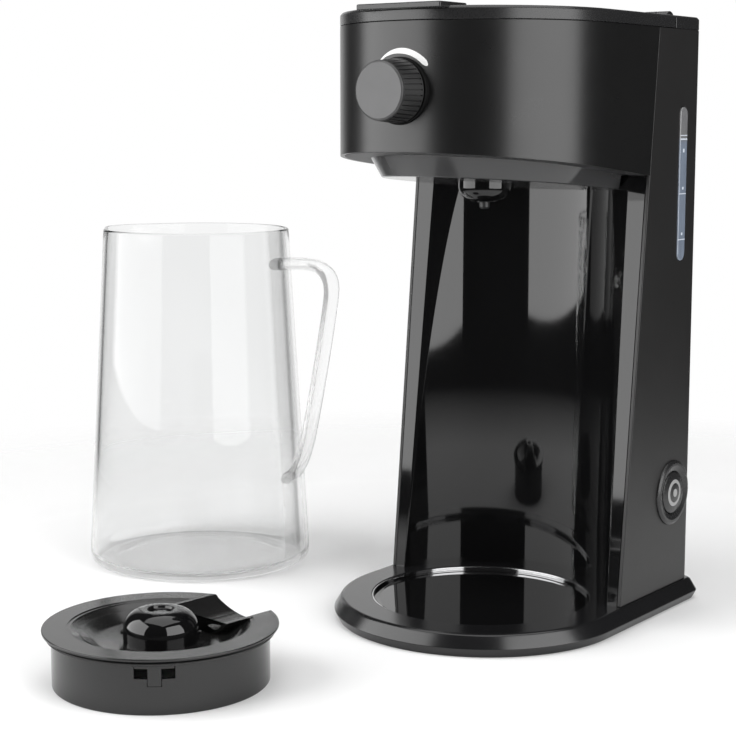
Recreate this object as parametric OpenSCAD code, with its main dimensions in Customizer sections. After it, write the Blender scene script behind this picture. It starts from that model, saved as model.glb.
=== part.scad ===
// Iced coffee maker with a glass pitcher and a pitcher lid, in millimetres.
// The origin is on the counter, under the centre of the round drip well.
// The front faces -Y, the power button is on the +X side, and +Z is up.
// Widths and heights build up from the pitcher, which docks in the bay under the drip outlet.

/* [Base] */
// How far the top edge of the base is bevelled in
base_bevel = 4.5; // [3:0.25:6]
// Flat of the base top round the tower
base_step = 1.5; // [1:0.25:4]
// Radius of the rear corners of the base
base_corner = 10; // [8:0.5:14]
// How far the lower lip of the base is drawn in
base_lip = 4; // [3:0.25:5]
// Height of the lower lip of the base
lip_h = 4.2; // [3:0.1:5]
// Wall of the base moulding
base_wall = 2.5; // [2:0.1:3]
// Radius of the drip well
well_r = 66; // [60:0.5:67]
// Depth of the drip well
well_depth = 6; // [4:0.25:9]
// Thickness of the drip plate
drip_plate_t = 1.2; // [1:0.1:2]
// Height of the rubber feet below the bottom cover
foot_h = 1.5; // [1:0.1:3]
// Radius of the rubber feet
foot_r = 7; // [5:0.5:9]

/* [Tower and head] */
// Gap between the pitcher and the concave bay wall
bay_gap = 2.5; // [1.5:0.25:5]
// Wall of the housing shells
wall = 2.5; // [2:0.1:3]
// How far the round front of the head is moved forwards
head_forward = 3; // [1:0.5:6]
// Room behind the bay wall for the tank and the heater
rear_room = 30.5; // [28:0.5:36]
// Radius of the rear corners of the tower
body_corner = 8; // [6:0.5:8]
// Height of the head band at its front
head_h = 70.5; // [68:0.5:80]
// Slope of the underside of the head, in degrees
head_slope = 6.3; // [4:0.1:7]
// Thickness of the lid and of the rear deck
deck_t = 7.7; // [7:0.1:9]
// Place of the leaning seam at the base
lean_foot = 23.4; // [20:0.2:26]
// Place of the leaning seam at the top
lean_top = 56.6; // [52:0.2:58]
// Width of the glossy strip on each wing of the bay
strip_w = 11; // [9:0.5:15]

/* [Brewing] */
// Radius of the brew chamber
chamber_r = 55; // [52:0.5:56]
// Gap between the brew chamber and the foot of the outlet collar
collar_gap = 3; // [2.5:0.25:5]
// How much wider the outlet collar is at its top
collar_flare = 7; // [4:0.5:9]
// Height of the outlet collar
collar_h = 12.5; // [12:0.25:14]
// Radius of the drip outlet
outlet_r = 15.5; // [14:0.25:17]
// Length of the drip outlet
outlet_len = 17.5; // [16:0.25:20]
// Travel of the drip valve
valve_travel = 4; // [2:0.25:5]
// Radius of the valve rod
valve_rod_r = 3; // [2.5:0.1:3.5]

/* [Controls] */
// Height of the knob axis above the lower edge of the head band
knob_rise = 33; // [30:0.5:36]
// Radius of the knob at its face
knob_face_r = 16; // [14:0.25:18]
// How much wider the knob is at its foot
knob_flare = 1.6; // [0.5:0.1:2.5]
// Length of the knob
knob_len = 17.5; // [14:0.5:20]
// Number of grip ribs on the knob
knob_ribs = 36; // [24:4:48]
// Radius of the knob shaft
shaft_r = 3; // [2.5:0.1:4]
// Distance of the power button from the rear face of the tower
button_inset = 27; // [26:0.5:31]
// Height of the power button above the base
button_rise = 58.6; // [54:0.2:62]
// Radius of the power button
button_r = 12.8; // [11:0.1:13]
// Width of the ring round the power button
bezel_w = 5.8; // [4:0.1:6]
// Travel of the power button
button_travel = 3; // [2:0.25:3.5]
// Distance of the water window from the rear face of the tower
window_inset = 23.5; // [20:0.5:26]
// Width of the water window
window_w = 12; // [10:0.5:13]
// Length of the water window
window_len = 92; // [80:1:110]
// Distance of the water window from the seam under the lid
window_drop = 45.5; // [36:0.5:52]

/* [Lid] */
// Distance of the lid hinge axis from the rear face of the tower
hinge_inset = 31; // [29:0.25:33]
// Radius of the hinge knuckles
knuckle_r = 5.5; // [5:0.1:6]
// Radius of the hinge pins
pin_r = 1.6; // [1.4:0.1:2]
// Width of the finger lip
lip_w = 56; // [40:1:64]

/* [Pitcher] */
// Place of the pitcher beside the machine
pitcher_x = -234; // [-300:1:-220]
// Place of the pitcher along the machine
pitcher_y = 6; // [-60:1:60]
// Direction of the pitcher handle, in degrees
handle_turn = 8; // [-40:1:40]
// Greatest radius of the pitcher
pitcher_low_r = 75; // [73:0.25:80]
// How much narrower the pitcher is at its rim
pitcher_taper = 13; // [10:0.5:15]
// Height of the pitcher
pitcher_h = 226; // [215:0.5:240]
// Glass wall of the pitcher
glass_t = 2.8; // [2.4:0.1:3.2]
// Reach of the handle past the widest part of the pitcher
handle_reach = 29.5; // [24:0.5:36]
// Height of the lower joint of the handle
handle_low = 62; // [55:0.5:70]
// Distance of the upper joint of the handle from the rim
handle_drop = 24; // [20:0.5:40]
// Half width of the handle
handle_half_w = 7; // [6:0.25:8]
// Half thickness of the handle
handle_half_t = 4; // [3:0.25:4.5]

/* [Pitcher lid] */
// Place of the pitcher lid beside the middle of the machine
cap_x = -70; // [-110:1:60]
// Place of the pitcher lid in front of the machine
cap_y = -207; // [-260:1:-180]
// How far the flange of the pitcher lid reaches past the rim
cap_overhang = 1.5; // [0.5:0.25:4]
// Width of the flange ring of the pitcher lid
cap_ring_w = 15.5; // [14:0.25:18]
// Height of the pitcher lid at its flange
cap_h = 31; // [30:0.5:36]
// Depth of the dish round the dome
dish_depth = 9; // [8:0.25:10]
// Radius of the dome of the pitcher lid
dome_r = 20.4; // [18:0.2:23]
// Height of the dome above the flange
dome_rise = 8.2; // [6:0.1:9]
// Radius of the pour trough in the pitcher lid
trough_r = 18; // [15:0.5:20]

/* [Hidden] */
$fn = 64;

// Clearances, and lengths for cuts
run_gap = 0.05;
slip_gap = 0.3;
free_gap = 0.6;
shell_gap = 0.2;
cut = 1;
far = 600;

// Outlines of the housing and of the base
bay_r = pitcher_low_r + bay_gap;
bay_out_r = bay_r + wall;
body_r = bay_out_r + wall + shell_gap + slip_gap;
body_cy = -head_forward;
band_front = body_cy - body_r;
body_rear = bay_out_r + rear_room + wall;
strip_x = body_r - strip_w;
base_margin = base_bevel + base_step;
base_r = body_r + base_margin;
base_rear = body_rear + base_margin;

// Heights, from the counter up
cover_t = 2;
cover_top = foot_h + cover_t;
well_room = 1.5;
well_skin = 2;
well_floor = cover_top + well_room + well_skin;
base_h = well_floor + well_depth;
base_mid = foot_h + lip_h;
cap_flange_t = 3;
dock_gap = 0.3;
outlet_low = base_h + pitcher_h + cap_flange_t + dome_rise + dock_gap;
skin = 2;
chamber_floor = outlet_low + outlet_len;
chamber_floor_top = chamber_floor + skin;
chamber_sink = 3.5;
slope = tan(head_slope);
head_low = chamber_floor + chamber_sink - slope * band_front;
seam_z = head_low + head_h;
top_z = seam_z + deck_t;
ledge_t = 3;
ledge_w = 3;
deck_plate_t = 2.5;
deck_drop = 9.5;
inner_deck_z = seam_z - deck_drop;
inner_deck_top = inner_deck_z + deck_plate_t;
plate_t = 2.5;

// Leaning seam
lean_angle = atan((lean_top - lean_foot) / (seam_z - base_h));
wing_turn = 20;

// Base cavity, screws and feet
cavity_inset = base_lip + base_wall;
cavity_top = base_h - base_wall;
screw_r = 1.45;
pilot_r = screw_r + run_gap;
screw_head_r = 3;
screw_head_h = 1.2;
post_r = 4;
post_ring = (well_r + base_wall + base_r - cavity_inset) / 2;
base_posts = [
    for (turn = [-45, -135]) post_ring * [cos(turn), sin(turn)],
    for (side = [-1, 1]) [side * (base_r - cavity_inset - 3 * post_r), base_rear - 6 * post_r]
];
front_foot = [56, -36];
rear_foot = [62, base_rear - 38];
foot_places = [
    [0, 0],
    for (side = [-1, 1], p = [front_foot, rear_foot]) [side * p[0], p[1]]
];
drip_groove_w = 1;
drip_groove_depth = 0.3;
boss_r = 4.5;
boss_h = 20;
front_boss_y = 58;
rear_boss_inset = 12;
tower_screw_len = 17;
rear_cover_half = body_r - body_corner - 5;
tower_bosses = [
    for (side = [-1, 1], y = [front_boss_y, body_rear - rear_boss_inset]) [side * (body_r - wall - boss_r), y]
];

// Drip valve
drain_r = 10;
seal_t = 1;
valve_disc_t = 2;
valve_disc_r = drain_r + 1.6;
valve_disc_z = chamber_floor_top + seal_t;
valve_spring_z = valve_disc_z + valve_disc_t;
valve_reach = 4;
valve_tip = outlet_low - valve_reach;
valve_point = 1;
spring_room = 5;
spring_wire = 0.8;
bridge_z = valve_spring_z + valve_travel + spring_room;
bridge_t = 2;
bridge_half = 3;
bridge_post_r = 2;
bridge_post_x = valve_disc_r + bridge_post_r + 2.4;
outlet_t = 2.5;
spoke_t = 3;

// Brew basket and its filter
basket_r = chamber_r - free_gap;
basket_t = 1.6;
basket_low = bridge_z + bridge_t + 2;
basket_rim_r = chamber_r + 2.8;
basket_rim_t = 1.5;
basket_rim_top = inner_deck_top + basket_rim_t;
filter_low = basket_low + 12.5;
filter_t = 1;
collar_low_r = chamber_r + skin + collar_gap;
collar_top_r = collar_low_r + collar_flare;

// Knob and strength gate
knob_z = head_low + knob_rise;
knob_foot_r = knob_face_r + knob_flare;
dial_r = knob_foot_r + 1.9;
dial_proud = 1.5;
dial_front = band_front - dial_proud;
knob_gap = 0.4;
knob_foot_y = dial_front - knob_gap;
knob_face_y = knob_foot_y - knob_len;
knob_cap_t = 0.8;
knob_cap_proud = 0.3;
knob_rim = 1.2;
shaft_cover = 3;
rib_w = 1.2;
rib_depth = 1.6;
rib_end = 1.5;
bushing_r = shaft_r + 3;
bushing_reach = 6;
gate_t = 3;
gate_r = 9;
gate_pad = 2.7;
gate_seat_y = -chamber_r - skin - gate_pad;
gate_y = gate_seat_y - slip_gap - gate_t;
gate_hole_ring = 5.6;
port_r = 3;

// Power button
button_y = body_rear - button_inset;
button_z = base_h + button_rise;
button_gap = 0.4;
bezel_r = button_r + button_gap + bezel_w;
bezel_neck_r = bezel_r - 2;
bezel_proud = 2.6;
bezel_depth = 5;
bezel_edge = 1.4;
bezel_funnel = 3.4;
button_front = body_r + bezel_proud - free_gap;
button_back = body_r - 7;
button_dish_r = 40;
button_dish_depth = 1.4;
switch_face = button_back - button_travel - 5;
switch_len = 22;
switch_half = 12;
switch_frame_t = 6;
switch_arm_t = 2.6;
switch_arm_half = 8;
switch_reach = bezel_neck_r + 0.5 + switch_arm_t;
plunger_r = 3;
plunger_depth = 8;

// Water window
window_y = body_rear - window_inset;
window_high = seam_z - window_drop;
window_low = window_high - window_len;
window_gap = 0.15;
window_proud = 0.6;
lens_lip = 2;
lens_t = 1.2;

// Heater, hoses and cord gland
heater_y = bay_out_r + rear_room / 2;
heater_r = 8;
heater_bore_r = 4;
heater_low = base_h + 19;
heater_bend = 15;
heater_high = heater_low + 2 * heater_bend;
heater_left = -20;
heater_right = 20;
hose_r = 7;
hose_bore_r = 4;
hose_bend = 10;
hose_end = 2;
hose_collar = 6;
riser_room = 2.4;
riser_turn = 130.5;
riser_at = (bay_out_r + hose_r + riser_room) * [cos(riser_turn), sin(riser_turn)];
riser_r = 5;
riser_bore_r = 3.6;
riser_low = heater_low + hose_bend + hose_collar;
riser_top = basket_rim_top;
inlet_x = heater_left - hose_end - hose_bend;
valve_case_r = 8;
valve_case_len = 14;
valve_case_low = heater_high + hose_bend + hose_collar;
valve_case_high = valve_case_low + valve_case_len;
bracket_t = 3;
bracket_edge = 3;
bracket_foot = [20, 2.5];
clip_x = 12;
clip_w = 12;
clip_h = 12;
clip_grip = 3;
gland_x = inlet_x + 2;
gland_z = base_h + 17;
gland_bore_r = 3.6;
gland_r = 7;
gland_flange_r = 9;
gland_flange_t = 3;

// Water tank
tank_inset = wall + lens_t + slip_gap;
tank_t = 2;
spigot_len = 8;
tank_low = valve_case_high + spigot_len;
tank_high = inner_deck_z - ledge_t - 1;
tank_left = inlet_x - hose_r - 6;
tank_tip_y = 58;
tank_upper_y = chamber_r + skin + 5;
tank_upper_z = under_z(tank_upper_y) + plate_t + free_gap;
tank_ledge_w = 5;
tank_bay_gap = 1.5;
filler_x = -42;
filler_w = 100;
filler_depth = 9.5;

// Lid and hinge
lid_gap = 0.3;
lid_z = seam_z + lid_gap;
hinge_y = body_rear - hinge_inset;
hinge_drop = 2.7;
hinge_z = top_z - hinge_drop;
hinge_room = 0.5;
lid_rear = hinge_y - knuckle_r - hinge_room;
deck_gap = 1;
deck_front = lid_rear + deck_gap;
skirt_h = 4;
skirt_t = 2;
skirt_inset = wall + shell_gap;
lid_bevel = 2.5;
lid_bevel_h = 3;
lid_roof = 2.5;
knuckle_inset = 23;
knuckle_in = body_r - knuckle_inset;
knuckle_len = 8;
knuckle_gap = 0.3;
deck_knuckle_x = knuckle_in + knuckle_len + knuckle_gap;
knuckle_arm = 6;
knuckle_arm_drop = 2.2;
knuckle_ease = 0.1;
pin_end = 0.5;
lip_reach = 2.5;
lip_t = 3.5;
lip_proud = 2;
lip_depth = 26;
liner_drop = 1.2;
liner_z = seam_z - liner_drop;
liner_t = 3;
liner_rim_h = 3.3;
liner_rim_t = 2;
liner_inset = wall + 0.8;
rim_inset = wall + 1;
rim_setback = 30;
liner_rim_rear = hinge_y - rim_setback;
spray_r = 36;
spray_h = 9;
spray_holes = 12;
spray_hole_r = 1.2;
spray_rings = [12, 26];
boot_r = 7.5;
lid_boss_r = 4;
lid_boss_x = 50;
lid_boss_front = 30;
lid_boss_rear = 40;
lid_bosses = [for (x = [-lid_boss_x, lid_boss_x], y = [-lid_boss_front, lid_boss_rear]) [x, y]];

// Pitcher and its handle, whose curves are drawn as radius and height
pitcher_top_r = pitcher_low_r - pitcher_taper;
pitcher_corner = 9;
pitcher_floor_t = 4.5;
spout_reach = 6;
spout_r = 16;
spout_tip_r = 3;
spout_h = 34;
spout_x = -pitcher_top_r - spout_reach + spout_r;
handle_out = pitcher_low_r + handle_reach;
handle_high = pitcher_h - handle_drop;
handle_curves = [
    [[pitcher_top_r - 7, handle_high], [handle_out - 19.5, handle_high + 2],
        [handle_out + 3.5, handle_high + 5], [handle_out, handle_high - 20]],
    [[handle_out, handle_high - 20], [handle_out - 3.5, handle_high - 44],
        [handle_out - 11.5, handle_low + 56], [handle_out - 16.5, handle_low + 34]],
    [[handle_out - 16.5, handle_low + 34], [handle_out - 20.5, handle_low + 16],
        [handle_out - 26.5, handle_low + 6], [pitcher_low_r - 11, handle_low]]
];
handle_steps = 14;
handle_sides = 16;

// Pitcher lid
cap_flange_r = pitcher_top_r + cap_overhang;
cap_skirt_r = pitcher_top_r - glass_t - 0.8;
cap_t = 2;
cap_edge = 1;
cap_dish_r = cap_flange_r - cap_ring_w;
cap_dish_low = cap_h - dish_depth;
cap_under = cap_h - cap_flange_t;
trough_lift = 8;
trough_t = 1.8;
trough_start = dome_r + 4;
gasket_t = 1.2;
gasket_w = 3;
latch_turn = -50;
latch_slot_w = 21;
latch_slot_h = 7;
latch_bar_h = 1.6;
latch_w = 7;
latch_drop = 4;
latch_proud = 0.5;
latch_top = cap_under - gasket_t - free_gap;
dome_bend = 11;
dome_top = cap_h + dome_rise;
dimple_r = 6.5;
dimple_depth = 1.6;
dimple_holes = 6;
dimple_hole_r = 1.2;

// Underside of the head at a distance from the bay axis
function under_z(y) = head_low - slope * (y - band_front);
// Points of an arc
function arc_points(centre, r, from, to, n) =
    [for (i = [0 : n]) centre + r * [cos(from + (to - from) * i / n), sin(from + (to - from) * i / n)]];
// Point of a cubic curve
function cubic(p, t) =
    pow(1 - t, 3) * p[0] + 3 * t * pow(1 - t, 2) * p[1] + 3 * t * t * (1 - t) * p[2] + pow(t, 3) * p[3];
// Direction of a polyline at a point
function heading(path, i) =
    let (a = path[max(i - 1, 0)], b = path[min(i + 1, len(path) - 1)]) (b - a) / norm(b - a);
// Triangles of a closed tube of rings
function tube_faces(rings, sides) = concat(
    [for (i = [0 : rings - 2], j = [0 : sides - 1])
        [i * sides + j, (i + 1) * sides + j, i * sides + (j + 1) % sides]],
    [for (i = [0 : rings - 2], j = [0 : sides - 1])
        [(i + 1) * sides + j, (i + 1) * sides + (j + 1) % sides, i * sides + (j + 1) % sides]],
    [for (j = [1 : sides - 2]) [0, j, j + 1]],
    [for (j = [1 : sides - 2]) [(rings - 1) * sides, (rings - 1) * sides + j + 1, (rings - 1) * sides + j]]
);

// Outline with a round front and rounded rear corners, drawn in by inset
module outline(r, cy, rear, corner, inset) {
    half = r - inset;
    back = rear - inset;
    round_r = max(corner - inset, 1);
    translate([0, cy]) circle(half, $fn = 128);
    translate([-half, cy]) square([2 * half, back - round_r - cy]);
    translate([-half + round_r, cy]) square([2 * (half - round_r), back - cy]);
    for (side = [-1, 1]) translate([side * (half - round_r), back - round_r]) circle(round_r);
}

module body_outline(inset) {
    outline(body_r, body_cy, body_rear, body_corner, inset);
}

module base_outline(inset) {
    outline(base_r, 0, base_rear, base_corner, inset);
}

// Slab with sloping sides over such an outline
module sloped_slab(r, cy, rear, corner, z0, z1, in0, in1) {
    translate([0, cy, z0]) cylinder(h = z1 - z0, r1 = r - in0, r2 = r - in1, $fn = 128);
    translate([0, rear - corner, 0]) rotate([90, 0, 0]) linear_extrude(rear - corner - cy)
        polygon([[-r + in0, z0], [r - in0, z0], [r - in1, z1], [-r + in1, z1]]);
    translate([-r + corner, 0, 0]) rotate([90, 0, 90]) linear_extrude(2 * (r - corner))
        polygon([[cy, z0], [rear - in0, z0], [rear - in1, z1], [cy, z1]]);
    for (side = [-1, 1]) translate([side * (r - corner), rear - corner, z0])
        cylinder(h = z1 - z0, r1 = corner - in0, r2 = corner - in1);
}

// Solid whose outline in Y and Z is given, as wide as the machine
module across(points) {
    translate([-far / 2, 0, 0]) rotate([90, 0, 90]) linear_extrude(far) polygon(points);
}

// Space behind and in front of the leaning seam
module behind_seam() {
    low = lean_foot - far * tan(lean_angle);
    across([[low, base_h - far], [far, base_h - far], [far, base_h + 2 * far],
        [lean_foot + 2 * far * tan(lean_angle), base_h + 2 * far]]);
}

module before_seam() {
    low = lean_foot - far * tan(lean_angle);
    across([[low, base_h - far], [-far, base_h - far], [-far, base_h + 2 * far],
        [lean_foot + 2 * far * tan(lean_angle), base_h + 2 * far]]);
}

// Space above and below the underside of the head
module above_underside(lift) {
    across([[-far, under_z(-far) + lift], [far, under_z(far) + lift], [far, far], [-far, far]]);
}

module below_underside(lift) {
    across([[-far, under_z(-far) + lift], [far, under_z(far) + lift], [far, -far], [-far, -far]]);
}

// Space behind the front of the bay wings, moved back by depth
module behind_wings(depth) {
    half = body_r - wall - shell_gap;
    translate([0, lean_foot, base_h]) rotate([-lean_angle, 0, 0]) translate([0, depth, -far / 4])
        linear_extrude(far * 1.25) polygon([[-half, 0], [-strip_x, 0], [0, strip_x * tan(wing_turn)],
            [strip_x, 0], [half, 0], [half, far], [-half, far]]);
}

// Ring that lines the inside of the housing
module wall_ring(z, h, outer, inner) {
    translate([0, 0, z]) linear_extrude(h) difference() {
        body_outline(outer);
        body_outline(inner);
    }
}

// Round bar along X or Y
module bar_x(x0, x1, y, z, r) {
    translate([x0, y, z]) rotate([0, 90, 0]) cylinder(h = x1 - x0, r = r);
}

module bar_y(x, y0, y1, z, r) {
    translate([x, y0, z]) rotate([-90, 0, 0]) cylinder(h = y1 - y0, r = r);
}

// Closed coil spring along Z
module coil(r, wire, h, turns) {
    rings = turns * 12 + 1;
    sides = 6;
    path = [for (i = [0 : rings - 1])
        [r * cos(i * 30), r * sin(i * 30), wire / 2 + (h - wire) * i / (rings - 1)]];
    points = [for (i = [0 : rings - 1], j = [0 : sides - 1])
        path[i] + wire / 2 * cos(j * 60) * [cos(i * 30), sin(i * 30), 0]
            + [0, 0, wire / 2 * sin(j * 60)]];
    polyhedron(points, tube_faces(rings, sides), convexity = 10);
}

// Quarter of a hose bend, from 180 to 270 degrees about Z
module elbow(r, bend) {
    rotate([0, 0, 180]) rotate_extrude(angle = 90) translate([bend, 0]) circle(r);
}

module base_plate() color("#1b1b1d") difference() {
    union() {
        difference() {
            union() {
                sloped_slab(base_r, 0, base_rear, base_corner, foot_h, base_mid, base_lip, 0);
                sloped_slab(base_r, 0, base_rear, base_corner, base_mid, base_h, 0, base_bevel);
            }
            translate([0, 0, foot_h - cut]) linear_extrude(well_floor - well_skin - foot_h + cut)
                base_outline(cavity_inset);
            difference() {
                translate([0, 0, foot_h]) linear_extrude(cavity_top - foot_h) base_outline(cavity_inset);
                cylinder(h = far, r = well_r + base_wall, center = true, $fn = 128);
            }
            translate([0, 0, well_floor]) cylinder(h = far, r = well_r, $fn = 128);
        }
        for (p = base_posts) translate([p[0], p[1], cover_top])
            cylinder(h = cavity_top - cover_top + base_wall / 2, r = post_r);
    }
    for (p = base_posts) translate([p[0], p[1], 0]) cylinder(h = cavity_top, r = pilot_r);
    for (p = tower_bosses) translate([p[0], p[1], 0]) cylinder(h = far, r = pilot_r);
}

module bottom_cover() color("#141415") difference() {
    translate([0, 0, foot_h]) linear_extrude(cover_t) base_outline(cavity_inset + 0.2);
    for (p = base_posts) translate([p[0], p[1], 0]) {
        cylinder(h = far, r = pilot_r);
        cylinder(h = foot_h + screw_head_h, r = screw_head_r + slip_gap);
    }
}

module rubber_feet() color("#2a2a2a") for (p = foot_places) translate([p[0], p[1], 0])
    cylinder(h = foot_h, r1 = foot_r - foot_h / 2, r2 = foot_r);

module base_screws() color("silver") for (p = base_posts) translate([p[0], p[1], foot_h]) {
    cylinder(h = screw_head_h, r = screw_head_r);
    cylinder(h = cavity_top - foot_h - cut, r = screw_r);
}

module drip_plate() color("#0c0c0d") difference() {
    translate([0, 0, well_floor]) cylinder(h = drip_plate_t, r = well_r - slip_gap, $fn = 128);
    for (r = [20 : 12 : well_r - 8])
        translate([0, 0, well_floor + drip_plate_t - drip_groove_depth]) difference() {
            cylinder(h = cut, r = r + drip_groove_w);
            translate([0, 0, -cut]) cylinder(h = 3 * cut, r = r);
        }
}

module window_shape(grow) {
    r = window_w / 2 + grow;
    for (z = [window_low + window_w / 2, window_high - window_w / 2])
        translate([0, window_y, z]) rotate([0, 90, 0]) cylinder(h = far, r = r);
    translate([0, window_y - r, window_low + window_w / 2])
        cube([far, 2 * r, window_high - window_low - window_w]);
}

// Walls of the tower with their ledges and bosses, between two sides
module tower_walls(x0, x1) difference() {
    intersection() {
        translate([x0, 0, 0]) cube([x1 - x0, far, far]);
        union() {
            wall_ring(base_h, seam_z - base_h, 0, wall);
            wall_ring(inner_deck_z - ledge_t, ledge_t, wall / 2, wall + ledge_w);
            intersection() {
                wall_ring(tank_low - ledge_t, ledge_t, wall / 2, wall + tank_ledge_w);
                translate([-far / 2, tank_tip_y, 0]) cube(far);
            }
            for (p = tower_bosses) translate([p[0], p[1], base_h]) {
                cylinder(h = boss_h, r = boss_r);
                translate([p[0] > 0 ? 0 : -boss_r - cut, -boss_r, 0])
                    cube([boss_r + cut, 2 * boss_r, boss_h]);
            }
        }
        behind_seam();
    }
    for (p = tower_bosses) translate([p[0], p[1], base_h - cut]) cylinder(h = boss_h, r = pilot_r);
    window_shape(window_gap);
    bar_x(body_r - 2 * wall, far, button_y, button_z, bezel_neck_r + run_gap);
    bar_y(gland_x, body_rear - 2 * wall, far, gland_z, gland_r + run_gap);
}

module tower_left() color("#232325") tower_walls(-far / 2, -rear_cover_half);

module tower_right() color("#232325") tower_walls(rear_cover_half, far / 2);

module rear_cover() color("#232325") tower_walls(-rear_cover_half + shell_gap, rear_cover_half - shell_gap);

module tower_screws() color("silver") for (p = tower_bosses) translate([p[0], p[1], cavity_top]) {
    translate([0, 0, -screw_head_h]) cylinder(h = screw_head_h, r = screw_head_r);
    cylinder(h = tower_screw_len, r = screw_r);
}

module dock_wall() color("#09090a") intersection() {
    difference() {
        union() {
            difference() {
                behind_wings(0);
                behind_wings(wall);
            }
            intersection() {
                cylinder(h = far, r = bay_out_r, $fn = 128);
                behind_wings(0);
            }
        }
        cylinder(h = 3 * far, r = bay_r, center = true, $fn = 128);
    }
    translate([0, 0, base_h]) linear_extrude(far) body_outline(wall + shell_gap);
    below_underside(0);
}

module head_shell() color("#1a1a1b") difference() {
    intersection() {
        union() {
            wall_ring(base_h, seam_z - base_h, 0, wall);
            wall_ring(inner_deck_z - ledge_t, ledge_t, wall / 2, wall + ledge_w);
        }
        before_seam();
        above_underside(0);
    }
    bar_y(0, -far, 0, knob_z, bushing_r + run_gap);
}

module head_floor() color("#101011") difference() {
    intersection() {
        linear_extrude(far) body_outline(wall + shell_gap);
        above_underside(0);
        below_underside(plate_t);
        union() {
            before_seam();
            cylinder(h = far, r = bay_out_r, $fn = 128);
        }
    }
    cylinder(h = far, r = chamber_r + skin + free_gap, $fn = 128);
}

module outlet_collar() color("#2c2c2e") difference() {
    translate([0, 0, under_z(0)]) rotate([-head_slope, 0, 0]) translate([0, 0, -collar_h]) difference() {
        cylinder(h = collar_h, r1 = collar_low_r, r2 = collar_top_r, $fn = 128);
        translate([0, 0, skin])
            cylinder(h = collar_h, r1 = collar_low_r - skin, r2 = collar_top_r - skin + 1, $fn = 128);
    }
    cylinder(h = far, r = outlet_r + run_gap);
}

module inner_deck() color("#18181a") difference() {
    union() {
        difference() {
            union() {
                translate([0, 0, inner_deck_z]) linear_extrude(deck_plate_t) body_outline(wall + slip_gap);
                translate([0, 0, chamber_floor])
                    cylinder(h = inner_deck_z - chamber_floor + cut, r = chamber_r + skin, $fn = 128);
                bar_y(0, gate_seat_y, -chamber_r - skin / 2, knob_z, gate_r);
            }
            translate([0, 0, chamber_floor_top]) cylinder(h = far, r = chamber_r, $fn = 128);
        }
        for (side = [-1, 1]) translate([side * bridge_post_x, 0, chamber_floor])
            cylinder(h = bridge_z - chamber_floor + bridge_t, r = bridge_post_r);
        translate([-bridge_post_x, -bridge_half, bridge_z])
            cube([2 * bridge_post_x, 2 * bridge_half, bridge_t]);
    }
    cylinder(h = chamber_floor_top + cut, r = drain_r);
    bar_y(0, gate_seat_y - cut, -chamber_r + cut, knob_z, port_r);
    translate([filler_x, tank_upper_y + tank_t, inner_deck_z - cut]) cube([filler_w, filler_depth, far]);
    translate([riser_at[0], riser_at[1], 0]) cylinder(h = far, r = riser_r + run_gap);
}

module brew_basket() color("#26262a") rotate_extrude($fn = 128) polygon([
    [drain_r - 4, basket_low], [drain_r - 2, basket_low], [drain_r - 2, basket_low + 4],
    [basket_r - 5, basket_low + 10], [basket_r, basket_low + 16], [basket_r, inner_deck_top],
    [basket_rim_r, inner_deck_top], [basket_rim_r, basket_rim_top], [basket_r - basket_t, basket_rim_top],
    [basket_r - basket_t, basket_low + 16.5], [basket_r - 5.5, basket_low + 11.8],
    [drain_r - 4, basket_low + 5.6]
]);

module basket_filter() color("#b8b8ba") rotate_extrude($fn = 128) polygon([
    [0, filter_low], [basket_r - 26, filter_low], [basket_r - 3, basket_rim_top - filter_t],
    [basket_r - 2.6, basket_rim_top], [basket_rim_r - 1, basket_rim_top],
    [basket_rim_r - 1, basket_rim_top + filter_t], [basket_r - 4.2, basket_rim_top + filter_t],
    [basket_r - 26.6, filter_low + filter_t], [0, filter_low + filter_t]
]);

module drip_outlet() color("#0b0b0c") difference() {
    union() {
        difference() {
            translate([0, 0, outlet_low]) cylinder(h = chamber_floor - outlet_low, r = outlet_r);
            translate([0, 0, outlet_low - cut]) cylinder(h = far, r = outlet_r - outlet_t);
        }
        translate([0, 0, outlet_low]) cylinder(h = spoke_t, r = valve_rod_r + outlet_t);
        for (turn = [0, 90]) rotate([0, 0, turn])
            translate([-outlet_r + outlet_t / 2, -spoke_t / 2, outlet_low])
                cube([2 * outlet_r - outlet_t, spoke_t, spoke_t]);
    }
    translate([0, 0, outlet_low - cut]) cylinder(h = far, r = valve_rod_r + run_gap);
}

module valve_plunger() color("#4a4a4e") {
    translate([0, 0, valve_tip + valve_point])
        cylinder(h = valve_disc_z - valve_tip - valve_point, r = valve_rod_r);
    translate([0, 0, valve_tip]) cylinder(h = valve_point, r1 = valve_rod_r - valve_point, r2 = valve_rod_r);
    translate([0, 0, valve_disc_z]) cylinder(h = valve_disc_t, r = valve_disc_r);
}

module valve_seal() color("#c9c4bb") translate([0, 0, chamber_floor_top]) difference() {
    cylinder(h = seal_t, r = valve_disc_r);
    translate([0, 0, -cut]) cylinder(h = far, r = drain_r - free_gap);
}

module valve_spring() color("silver")
    translate([0, 0, valve_spring_z]) coil(valve_rod_r + 2, spring_wire, bridge_z - valve_spring_z, 4);

module knob_bushing() color("#0e0e0f") difference() {
    union() {
        bar_y(0, dial_front, band_front + bushing_reach, knob_z, dial_r);
        bar_y(0, dial_front, band_front + wall + bushing_reach, knob_z, bushing_r);
    }
    difference() {
        translate([0, body_cy, 0]) cylinder(h = far, r = body_r, $fn = 128);
        bar_y(0, -far, far, knob_z, bushing_r);
    }
    bar_y(0, -far, far, knob_z, shaft_r + run_gap);
}

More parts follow.
